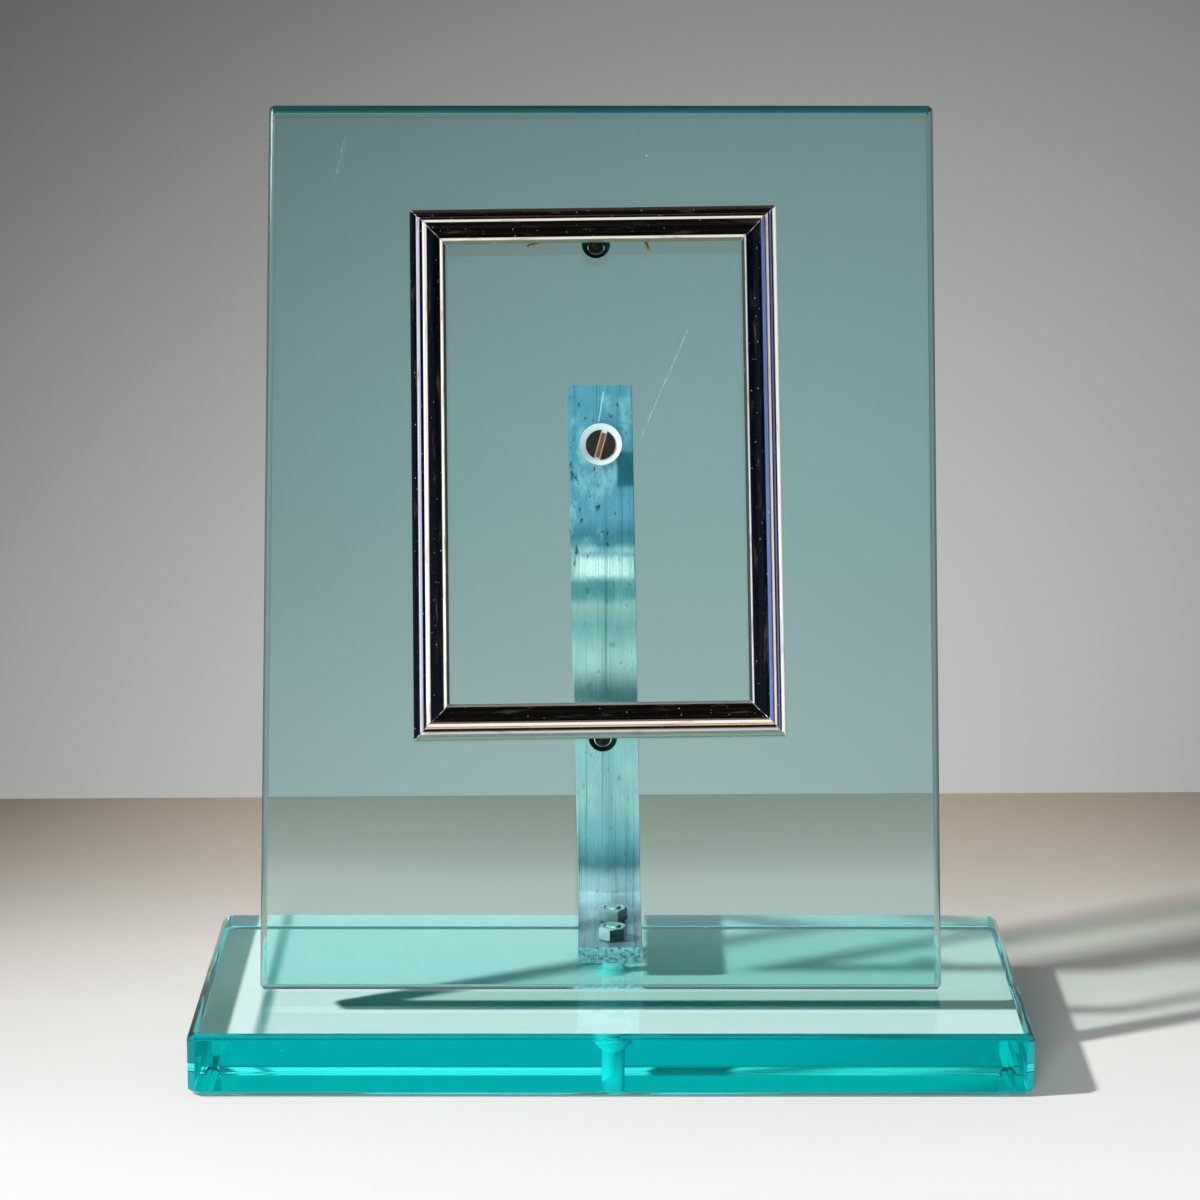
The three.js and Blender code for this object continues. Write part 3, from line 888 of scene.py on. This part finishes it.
def build_base():
    finishes = [BASE_FACE, BASE_EDGE, BASE_BORE, BASE_BEVEL_EDGE]
    obj = plate(
        "base_slab", BASE_WIDTH, BASE_DEPTH, BASE_THICKNESS, BASE_BEVEL, BASE_CORNER, finishes
    )
    low, high = UPPER_BEVEL
    for face in obj.data.polygons:
        if low < face.normal.z < high:
            face.material_index = finishes.index(BASE_BEVEL_EDGE)
    profile = sunk_profile(GLASS_HOLE, BASE_SINK_MOUTH, BASE_THICKNESS)
    cutters = []
    for end, y in FOOT_BOLT_Y.items():
        place = shift(FOOT_BOLT_X, y)
        cutters.append(drill(f"base_drill_{end}", profile, finishes, BASE_BORE, place))
    carve(obj, cutters)
    settle(obj, Matrix.Identity(4), "stand", "base_plate")


def build_panel():
    finishes = [PANEL_FACE, PANEL_EDGE, GROUND, SHADED_BORE, PANEL_TOP_EDGE, PANEL_SIDE_EDGE]
    obj = plate(
        "panel_pane", PANEL_WIDTH, PANEL_HEIGHT, PANEL_THICKNESS, PANEL_BEVEL, PANEL_CORNER,
        finishes,
    )
    for face in obj.data.polygons:
        if face.normal.y > TOP_RIM:
            face.material_index = finishes.index(PANEL_TOP_EDGE)
        elif abs(face.normal.x) > FLAT:
            face.material_index = finishes.index(PANEL_SIDE_EDGE)
    obj.data.transform(shift(0.0, PANEL_HEIGHT / 2))
    front = shift(0.0, SCREW_HEIGHT, PANEL_THICKNESS)
    into_panel = front @ spin(180.0, "X")
    sunk = sunk_profile(GLASS_HOLE, PANEL_SINK_MOUTH, PANEL_THICKNESS)
    cutters = [drill("screw_drill", sunk, finishes, GROUND, into_panel)]
    for edge, y in PIN_Y.items():
        centre = MOULDING_IN_PANEL @ Vector((PIN_SHIFT, y, 0.0))
        place = shift(centre.x, centre.y)
        cutters.append(drill(f"pin_drill_{edge}", pin_hole_profile(), finishes, SHADED_BORE, place))
    carve(obj, cutters)
    settle(obj, PANEL_PLACE, "stand", "glass_panel")


# Bent bar


def behind_panel(height, offset):
    """(y, z) of a place at a height up the panel and an offset behind its back."""
    point = PANEL_PLACE @ Vector((0.0, height, -offset))
    return Vector((point.y, point.z))


def left_of(direction):
    return Vector((-direction.y, direction.x))


def bent_path(corners, radii):
    """(point, left normal, bend share) along a path whose inner corners are rounded."""
    runs = [(end - start).normalized() for start, end in zip(corners, corners[1:])]
    way = [(corners[0], left_of(runs[0]), 0.0)]
    for corner, before, after, radius in zip(corners[1:], runs, runs[1:], radii):
        turn = math.atan2(before.x * after.y - before.y * after.x, before.dot(after))
        side = math.copysign(1.0, turn)
        middle = radius + BAR_THICKNESS / 2
        start = corner - before * middle * math.tan(abs(turn) / 2)
        centre = start + left_of(before) * side * middle
        for step in range(BEND_STEPS + 1):
            share = step / BEND_STEPS
            normal = Matrix.Rotation(turn * share, 2) @ left_of(before)
            swell = side * math.sin(math.pi * share) * abs(turn) / math.pi
            way.append((centre - normal * side * middle, normal, swell))
    way.append((corners[-1], left_of(runs[-1]), 0.0))
    return way


def bar_ring(point, normal, swell, lean):
    """The bar's section at a point of its path: a rectangle with small round corners."""
    half = BAR_WIDTH / 2
    deep = BAR_THICKNESS / 2
    ring = []
    for x_side, v_side, start in ((1, 1, 0.0), (-1, 1, 90.0), (-1, -1, 180.0), (1, -1, 270.0)):
        for step in range(CORNER_STEPS + 1):
            angle = math.radians(start + 90.0 * step / CORNER_STEPS)
            x = x_side * (half - BAR_CORNER) + BAR_CORNER * math.cos(angle)
            v = v_side * (deep - BAR_CORNER) + BAR_CORNER * math.sin(angle)
            x *= 1 + swell * BEND_SWELL * v / deep / half
            spot = point + normal * v
            rise = max(0.0, spot.y - FOOT_TOP)
            ring.append((x + rise * lean, spot.x, spot.y))
    return ring


def build_bar():
    foot = BASE_TOP + BAR_MIDDLE
    corners = [
        Vector((BAR_NEAR, foot)),
        Vector((BAR_HEEL, foot)),
        behind_panel(KNEE_HEIGHT, BAR_MIDDLE),
        behind_panel(BAR_TOP_HEIGHT, BAR_MIDDLE),
    ]
    lean = PANEL_SHIFT / (behind_panel(SCREW_HEIGHT, BAR_MIDDLE).y - FOOT_TOP)
    way = bent_path(corners, [FOOT_BEND, KNEE_BEND])
    rings = [bar_ring(point, normal, swell, lean) for point, normal, swell in way]
    finishes = [ALUMINIUM]
    obj = solid("strut_bar", skin(rings), finishes)
    drills = {end: (FOOT_DRILL, shift(FOOT_BOLT_X, y, BASE_TOP)) for end, y in FOOT_BOLT_Y.items()}
    drills["top"] = (PANEL_DRILL, PANEL_PLACE @ shift(0.0, SCREW_HEIGHT))
    cutters = []
    for end, (reach, place) in drills.items():
        rod = [(BAR_HOLE / 2, height) for height in reach]
        name = f"bar_drill_{end}"
        cutters.append(drill(name, rod, finishes, ALUMINIUM, place, ROUND_SIDES))
    carve(obj, cutters)
    settle(obj, Matrix.Identity(4), "stand", "strut")


# Fasteners


def screw(name, length, turn, finish):
    """A slotted countersunk screw along +Z with a cut thread. Its head's face is at z 0."""
    cone_end = HEAD_RIM + (HEAD - THREAD) / 2
    start = cone_end + THREAD_START
    end = length - TIP

    def groove(angle, height):
        turn_share = (height / PITCH - angle / (2 * math.pi)) % 1.0
        fade = min(1.0, (height - start) / PITCH, (end - height) / THREAD_FADE)
        return THREAD_DEPTH * max(0.0, fade) * abs(2 * turn_share - 1)

    rings = [
        [(0.0, 0.0, 0.0)],
        circle(HEAD / 2 - HEAD_EDGE_INSET, 0.0, SCREW_SIDES),
        circle(HEAD / 2, HEAD_EDGE_RISE, SCREW_SIDES),
        circle(HEAD / 2, HEAD_RIM, SCREW_SIDES),
        circle(THREAD / 2, cone_end, SCREW_SIDES),
    ]
    count = max(2, round((end - start) / PITCH * THREAD_RINGS))
    for i in range(count + 1):
        height = start + (end - start) * i / count
        rings.append(circle(THREAD / 2, height, SCREW_SIDES, groove))
    rings.append(circle(THREAD / 2 - TIP, length, SCREW_SIDES))
    rings.append([(0.0, 0.0, length)])
    obj = solid(name, skin(rings), [finish])
    corners = ((-1, -1), (1, -1), (1, 1), (-1, 1))
    slot_rings = [
        [(x * SLOT_WIDTH / 2, y * HEAD, z) for x, y in corners]
        for z in (-OVERRUN, SLOT_DEPTH)
    ]
    slot = solid(f"{name}_slot", skin(slot_rings, smooth=False), [finish])
    slot.data.transform(spin(turn))
    return carve(obj, [slot])


def nut(name, turn):
    """A hexagon nut along +Z from z 0, chamfered at both ends, with a chamfered bore.

    At turn 0 two of its flats face along X.
    """
    corner = NUT_FLATS / math.sqrt(3)
    face = NUT_FLATS / 2 - NUT_FACE_INSET
    reach = NUT_FLATS / 2 + NUT_CHAMFER * math.sqrt(3)
    half_flat = 30.0
    hexagon = [circle(corner, height, 6) for height in (0.0, NUT_HEIGHT)]
    obj = solid(name, skin(hexagon, smooth=False), [STEEL])
    barrel = solid(f"{name}_barrel", lathe([
        (face, 0.0),
        (reach, NUT_CHAMFER),
        (reach, NUT_HEIGHT - NUT_CHAMFER),
        (face, NUT_HEIGHT),
    ], HOLE_SIDES), [STEEL])
    carve(obj, [barrel], "INTERSECT")
    bore = THREAD / 2 + NUT_CLEARANCE
    mouth = bore + NUT_BORE_CHAMFER + OVERRUN
    drill_bit = solid(f"{name}_bore", lathe([
        (mouth, -OVERRUN),
        (bore, NUT_BORE_CHAMFER),
        (bore, NUT_HEIGHT - NUT_BORE_CHAMFER),
        (mouth, NUT_HEIGHT + OVERRUN),
    ]), [STEEL])
    carve(obj, [drill_bit])
    obj.data.transform(spin(turn + half_flat))
    return obj


def build_fasteners():
    nut_seat = FOOT_TOP + REST
    for end, y in FOOT_BOLT_Y.items():
        length = nut_seat + NUT_HEIGHT + THREAD_SHOWN - BASE_HEAD_SINK
        bolt = screw(f"bolt_{end}", length, SLOT_TURN[end], STEEL)
        place = shift(FOOT_BOLT_X, y, BASE_HEAD_SINK)
        settle(bolt, place, "stand", f"foot_bolt_{end}")
        made = nut(f"nut_{end}", NUT_TURN[end])
        place = shift(FOOT_BOLT_X, y, nut_seat)
        settle(made, place, "stand", f"foot_nut_{end}", NUT_SHARP)
    rear_seat = 2 * REST + BAR_THICKNESS
    length = PANEL_THICKNESS - PANEL_HEAD_SINK + rear_seat + NUT_HEIGHT + THREAD_SHOWN
    over = spin(180.0, "X")
    head = shift(0.0, SCREW_HEIGHT, PANEL_THICKNESS - PANEL_HEAD_SINK)
    made = screw("strut_screw", length, SLOT_TURN["panel"], DARK)
    settle(made, PANEL_PLACE @ head @ over, "stand", "panel_screw")
    seat = shift(0.0, SCREW_HEIGHT, -rear_seat)
    made = nut("strut_nut", NUT_TURN["panel"])
    settle(made, PANEL_PLACE @ seat @ over, "stand", "panel_screw_nut", NUT_SHARP)


# Moulding


def bulge(start, end, height):
    """Points of an arc that bulges by height over the chord from start to end."""
    start = Vector(start)
    along = Vector(end) - start
    half = along.length / 2
    radius = (half * half + height * height) / (2 * abs(height))
    reach = 2 * math.atan2(abs(height), half)
    side = math.copysign(1.0, height)
    unit = along.normalized()
    across = left_of(unit)
    centre = start + along / 2 + across * (height - side * radius)
    points = []
    for step in range(BEAD_STEPS + 1):
        angle = -reach + 2 * reach * step / BEAD_STEPS
        point = centre + unit * radius * math.sin(angle) + across * side * radius * math.cos(angle)
        points.append((point.x, point.y))
    return points


def rail_section():
    """(inward, rise) round the moulding: two beads, a ridge, a cove and a lip over the rebate."""
    return [
        (0.0, 0.0),
        SKIRT,
        *bulge(*BEAD),
        *bulge(*SECOND_BEAD),
        *bulge(*RIDGE),
        *bulge(*COVE),
        *bulge(*LIP),
        (RAIL_WIDTH, LIP_EDGE),
        (RAIL_WIDTH, REBATE_DEPTH),
        (REBATE_START, REBATE_DEPTH),
        (REBATE_START, 0.0),
    ]


def hand_made(position, seed):
    """A small smooth unevenness, the same at each run."""
    return sum(part * math.sin(position * rate + step * seed) for rate, step, part in WAVES)


def rail(side, length, seed):
    """A rail with mitred ends along X, its outer edge along y 0 and its section rising in z."""
    section = rail_section()
    rings = []
    for i in range(RAIL_STEPS + 1):
        share = 2 * i / RAIL_STEPS - 1
        ring = []
        for inward, rise in section:
            x = -share * (length / 2 - inward - MITRE_GAP)
            if rise > REBATE_DEPTH:
                rise += RAIL_UNEVENNESS * hand_made(x, seed) * (1 - share * share)
            ring.append((x, -inward, rise))
        rings.append(ring)
    return solid(f"moulding_{side}", skin(rings), [NICKEL[side]])


# Each rail's length, its distance from the moulding's centre and its turn in degrees
RAILS = {
    "top": (FRAME_WIDTH, FRAME_HEIGHT / 2, 0.0),
    "right": (FRAME_HEIGHT, FRAME_WIDTH / 2, -90.0),
    "bottom": (FRAME_WIDTH, FRAME_HEIGHT / 2, 180.0),
    "left": (FRAME_HEIGHT, FRAME_WIDTH / 2, 90.0),
}


def build_rails():
    for seed, (side, (length, reach, turn)) in enumerate(RAILS.items()):
        made = rail(side, length, seed + 1.0)
        place = MOULDING_PLACE @ spin(turn) @ shift(0.0, reach)
        settle(made, place, "moulding", f"rail_{side}", RAIL_SHARP)


CORNERS = {
    "top_left": (-1, 1), "top_right": (1, 1),
    "bottom_right": (1, -1), "bottom_left": (-1, -1),
}


def build_solder():
    """Bright solder in the four mitres, a little below the rails' surface."""
    for corner, (x_side, y_side) in CORNERS.items():
        rings = [[], []]
        for inward, rise in rail_section():
            z = rise - SOLDER_SINK if rise else SOLDER_SINK
            for ring, offset in zip(rings, (-SOLDER_HALF_WIDTH, SOLDER_HALF_WIDTH)):
                x = x_side * (FRAME_WIDTH / 2 - inward + offset)
                y = y_side * (FRAME_HEIGHT / 2 - inward - offset)
                ring.append((x, y, z))
        made = solid(f"solder_{corner}", skin(rings, smooth=False), [SOLDER])
        settle(made, MOULDING_PLACE, "moulding")


def build_pins():
    root = {"top": REBATE_DEPTH - REST, "bottom": -REST}
    low, high = PIN_TIP_RISE
    for edge, y in PIN_Y.items():
        made = solid(f"peg_{edge}", lathe([
            (PIN / 2 - PIN_TIP, PIN_END),
            (PIN / 2 - PIN_EDGE, PIN_END + low),
            (PIN / 2, PIN_END + high),
            (PIN / 2, root[edge]),
        ]), [BRASS_IN_PAINTED_SHADE])
        place = MOULDING_PLACE @ shift(PIN_SHIFT, y)
        settle(made, place, "moulding", f"pin_{edge}")


def prong_wire(length, height):
    """A slightly bowed wire along +X with dressed ends."""
    rings = [[(-PRONG_WIRE / 2, 0.0, height)]]
    ends = (PRONG_STATIONS[0], PRONG_STATIONS[-1])
    for share in PRONG_STATIONS:
        thin = PRONG_END_SHARE if share in ends else 1.0
        bow = PRONG_BOW * math.sin(math.pi * share)
        ring = circle(PRONG_WIRE / 2 * thin, 0.0, WIRE_SIDES)
        rings.append([(share * length, a, height + b + bow) for a, b, _ in ring])
    rings.append([(length, 0.0, height)])
    return skin(rings)


def build_prongs():
    """Each prong is a wire on a stud, which turns under the top rail."""
    middle = REBATE_DEPTH / 2
    low = middle - PRONG_WIRE / 2
    high = REBATE_DEPTH - REST
    for side, (x, length, turn) in PRONGS.items():
        obj = solid(f"wire_{side}", prong_wire(length, middle), [BRASS])
        stud = solid(f"stud_{side}", lathe([
            (PRONG_STUD / 2 - PRONG_STUD_EDGE, low),
            (PRONG_STUD / 2, low + PRONG_STUD_EDGE),
            (PRONG_STUD / 2, high),
        ], STUD_SIDES), [BRASS])
        carve(obj, [stud], "UNION")
        place = MOULDING_PLACE @ shift(x, SIGHT_TOP + PRONG_INSET) @ spin(turn)
        settle(obj, place, f"prong_{side}", f"prong_{side}")


# Stage

# The table's top: a painted pool of light, bright at the front and dark to the back, and painted
# shade that darkens it to the sides
TABLE_LIGHT_POOL_REACH = (-0.13, 0.27)
TABLE_LIGHT_POOL = [
    (0.0, grey(0.84)), (0.18, grey(0.8)), (0.4, rgb(0.79, 0.775, 0.755)),
    (0.53, rgb(0.71, 0.685, 0.655)), (0.67, rgb(0.57, 0.54, 0.495)), (0.79, rgb(0.48, 0.43, 0.365)),
    (1.0, rgb(0.37, 0.315, 0.25)),
]
TABLE_MIDDLE = 0.025
TABLE_SIDE_SHADE_REACH = (0.08, 0.37)
TABLE_SIDE_SHADE_START = 0.08
TABLE_SIDE_SHADE = rgb(0.02, 0.018, 0.015)

# The table's outline, whose back edge runs a little aslant, and its edge as insets and heights
TABLE_SIDE = 0.9
TABLE_FRONT = -0.2
TABLE_BACK = 0.273
TABLE_SLANT = 0.022
TABLE_EDGE = [(0.004, -0.0301), (0.0, -0.0261), (0.0, -0.0021), (0.002, -0.0001)]


def pale_table():
    g = material("pale_table")
    spot = g.place()
    x, y = g.axes(spot)[:2]
    # Painted light: a pool that is bright at the front of the table and dark at the back, with
    # painted shade to the sides
    start, end = TABLE_LIGHT_POOL_REACH
    depth = g.add("ShaderNodeMapRange", {"Value": y, 1: start, 2: end}).outputs[0]
    away = g.smooth(g.apart(x, TABLE_MIDDLE), *TABLE_SIDE_SHADE_REACH)
    far = g.math("MULTIPLY_ADD", depth, 1 + TABLE_SIDE_SHADE_START, -TABLE_SIDE_SHADE_START)
    side_shade = g.math("MAXIMUM", g.times(away, far), 0.0)
    grain = g.times(g.noise(spot, scale=40.0), 0.02)
    return g.finish(g.principled(
        Base_Color=g.mix(g.math("ADD", side_shade, grain), g.ramp(depth, TABLE_LIGHT_POOL), TABLE_SIDE_SHADE),
        Roughness=0.7,
        Specular_IOR_Level=0.2,
    ))


def build_table():
    """A pale table top whose far edge is behind the object."""
    rings = []
    for inset, z in TABLE_EDGE:
        side = TABLE_SIDE - inset
        slant = TABLE_SIDE * TABLE_SLANT
        rings.append([
            (-side, TABLE_BACK - slant - inset, z),
            (side, TABLE_BACK + slant - inset, z),
            (side, TABLE_FRONT + inset, z),
            (-side, TABLE_FRONT + inset, z),
        ])
    table = solid("table_top", skin(rings, smooth=False), [pale_table()])


# Lamps: side, distance and size in metres, and power in watts
KEY_SIDE = Vector((-2.18, -0.44, 2.02)).normalized()
FILL_SIDE = Vector((-0.15, -1.0, 0.12)).normalized()
LAMPS = {"key": (KEY_SIDE, 6.0, 0.36, 397.0), "fill": (FILL_SIDE, 1.6, 0.5, 32.0)}
LAMP_COLOUR = (1.0, 0.985, 0.965)
LAMP_TARGET = Vector((0.0, 0.0, 0.03))

# The wall behind the object, with a soft glow that leans to the right
GLOW_LEAN = 0.25
GLOW_SHIFT = 0.075
GLOW_WIDTH = 0.16
GLOW_LEVEL = -0.27
GLOW_HEIGHT = 0.15
WALL_EDGE = (0.6, 0.9)

# The room: where its sides and rear start, and its tones by height: 0 is down, 0.5 level, 1 up
ROOM_SIDE = (0.5, 0.85)
ROOM_REAR = (-0.1, 0.15)
WINDOW_TONES = greys(
    (0.0, 0.01), (0.45, 0.02), (0.6, 0.12), (0.674, 0.13), (0.679, 0.4), (0.681, 1.4),
    (0.683, 1.25), (0.687, 0.62), (0.693, 0.4), (0.703, 0.3), (0.715, 0.12), (0.727, 0.02),
)
WINDOW_GAIN = 3.2
POST_X = 0.0022
POST_EDGE = (0.0068, 0.0088)
WALL_TONES = greys((0.0, 0.1), (0.35, 0.5), (0.62, 1.0), (0.75, 0.3), (1.0, 0.02))
SKY_TONES = [
    (0.0, grey(0.1)), (0.3, grey(0.12)), (0.6, rgb(0.06, 0.1, 0.12)),
    (0.71, rgb(0.08, 0.24, 0.38)), (0.735, rgb(0.28, 0.66, 0.95)), (0.76, rgb(0.34, 0.72, 1.0)),
    (0.82, rgb(0.34, 0.72, 1.0)), (0.9, rgb(1.0, 1.05, 1.1)), (1.0, rgb(1.0, 1.05, 1.1)),
]
SKY_GAIN = 1.9
CARD = rgb(5.0, 3.4, 3.1)
CARD_BAND = (0.16, 0.2, 0.61, 0.64)
CARD_EDGE = (0.22, 0.16)
REAR_GAP = (0.6569, 0.6575, 0.6629, 0.6634)
REAR_SHADE = (0.0, 0.14)

# The key lamp's mirror image: cosines at its edge, and its brightness
GLARE_EDGE = (0.985, 0.995)
GLARE = 9.0

# Light on rough surfaces, and what it turns to past a number of crossed glass faces
ROOM_LIGHT = grey(0.22)
LIGHT_IN_GLASS = [(2.5, rgb(0.0, 0.115, 0.105)), (5.5, rgb(0.0, 0.6, 0.6))]


def seen_wall(g, x, y, z):
    """What the camera sees behind the table."""
    centre = g.math("MULTIPLY_ADD", z, GLOW_LEAN, GLOW_SHIFT)
    across = g.bell(g.math("SUBTRACT", x, centre), 0.0, GLOW_WIDTH)
    glow = g.times(across, g.bell(z, GLOW_LEVEL, GLOW_HEIGHT))
    wall = g.mix(glow, grey(0.03), rgb(0.57, 0.57, 0.56))
    return g.mix(g.smooth(y, *WALL_EDGE), grey(0.45), wall)


def mirrored_room(g, spot, x, height, side, behind):
    """What outer faces mirror: a window with a post, pale walls beside it and the key lamp."""
    window = g.mix(1.0, g.ramp(height, WINDOW_TONES), grey(WINDOW_GAIN), "MULTIPLY")
    off_post = g.smooth(g.apart(x, POST_X), *POST_EDGE)
    window = g.mix(off_post, grey(0.02), window)
    front = g.mix(side, window, g.ramp(height, WALL_TONES))
    glare = g.smooth(g.dot(spot, KEY_SIDE), *GLARE_EDGE, 0.0, GLARE)
    return g.mix(1.0, g.mix(behind, front, grey(0.55)), glare, "ADD")


def room_in_glass(g, x, height, side, behind):
    """What is mirrored inside or behind glass: a blue sky with a warm card, and a rear wall."""
    sky = g.mix(1.0, g.ramp(height, SKY_TONES), grey(SKY_GAIN), "MULTIPLY")
    across = g.smooth(g.math("ABSOLUTE", x), *CARD_EDGE)
    sky = g.mix(g.times(g.band(height, *CARD_BAND), across), sky, CARD)
    rear = g.mix(g.smooth(x, *REAR_SHADE), grey(0.56), grey(0.36))
    rear = g.mix(g.smooth(height, *REAR_GAP[:2]), grey(0.3), rear)
    rear = g.mix(g.band(height, *REAR_GAP), rear, grey(0.02))
    return g.mix(behind, g.mix(side, sky, grey(0.4)), rear)


def build_world():
    """The wall behind the object, and a room round it that the glass and the metal mirror."""
    world = bpy.data.worlds.new("room")
    scene.world = world
    g = Graph(world)
    spot = g.place("Generated")
    x, y, z = g.axes(spot)
    height = g.math("MULTIPLY_ADD", z, 0.5, 0.5)
    side = g.smooth(g.math("ABSOLUTE", x), *ROOM_SIDE)
    behind = g.smooth(y, *ROOM_REAR)
    path = g.add("ShaderNodeLightPath").outputs
    mirrored, scattered, passed = (
        g.math("MINIMUM", path[f"{kind} Depth"], 1.0)
        for kind in ("Glossy", "Diffuse", "Transmission")
    )
    room = g.mix(
        passed,
        mirrored_room(g, spot, x, height, side, behind),
        room_in_glass(g, x, height, side, behind),
    )
    light = ROOM_LIGHT
    for faces, colour in LIGHT_IN_GLASS:
        crossed = g.math("GREATER_THAN", path["Transmission Depth"], faces)
        light = g.mix(crossed, light, colour)
    seen = g.mix(scattered, g.mix(mirrored, seen_wall(g, x, y, z), room), light)
    ground = g.add("ShaderNodeBackground", {"Color": seen, "Strength": 1.0}).outputs[0]
    g.add("ShaderNodeOutputWorld", {"Surface": ground})
    world.cycles.sampling_method = "NONE"


def build_lamp(name, side, distance, size, energy):
    """A round soft lamp that lights surfaces; the world shows its mirror image."""
    lamp = bpy.data.lights.new(name, "AREA")
    lamp.shape = "DISK"
    lamp.size = size
    lamp.energy = energy
    lamp.color = LAMP_COLOUR
    obj = link(name, lamp)
    obj.location = side * distance
    obj.visible_transmission = False
    obj.visible_glossy = False
    aim = LAMP_TARGET - obj.location
    obj.rotation_euler = aim.to_track_quat("-Z", "Y").to_euler()


# Camera: lens and sensor in millimetres, place in metres, and turns in degrees
LENS = 117.43
SENSOR = 36.0
CAMERA_PLACE = (-0.0036, -1.1543, 0.3974)
CAMERA_PAN = -0.019
CAMERA_DIP = 12.726
CAMERA_ROLL = 0.021


def build_camera():
    data = bpy.data.cameras.new("camera")
    data.lens = LENS
    data.sensor_width = SENSOR
    camera = link("camera", data)
    camera.matrix_world = (
        shift(*CAMERA_PLACE)
        @ spin(CAMERA_PAN)
        @ spin(90.0 - CAMERA_DIP, "X")
        @ spin(CAMERA_ROLL)
    )
    scene.camera = camera


# Light is mirrored many times inside the slab before it comes out
GLOSSY_BOUNCES = 12

build_base()
build_panel()
build_bar()
build_fasteners()
build_rails()
build_solder()
build_pins()
build_prongs()
build_table()
build_world()
for lamp_name, lamp_values in LAMPS.items():
    build_lamp(lamp_name, *lamp_values)
build_camera()
scene.cycles.glossy_bounces = GLOSSY_BOUNCES
scene.view_settings.view_transform = "Standard"
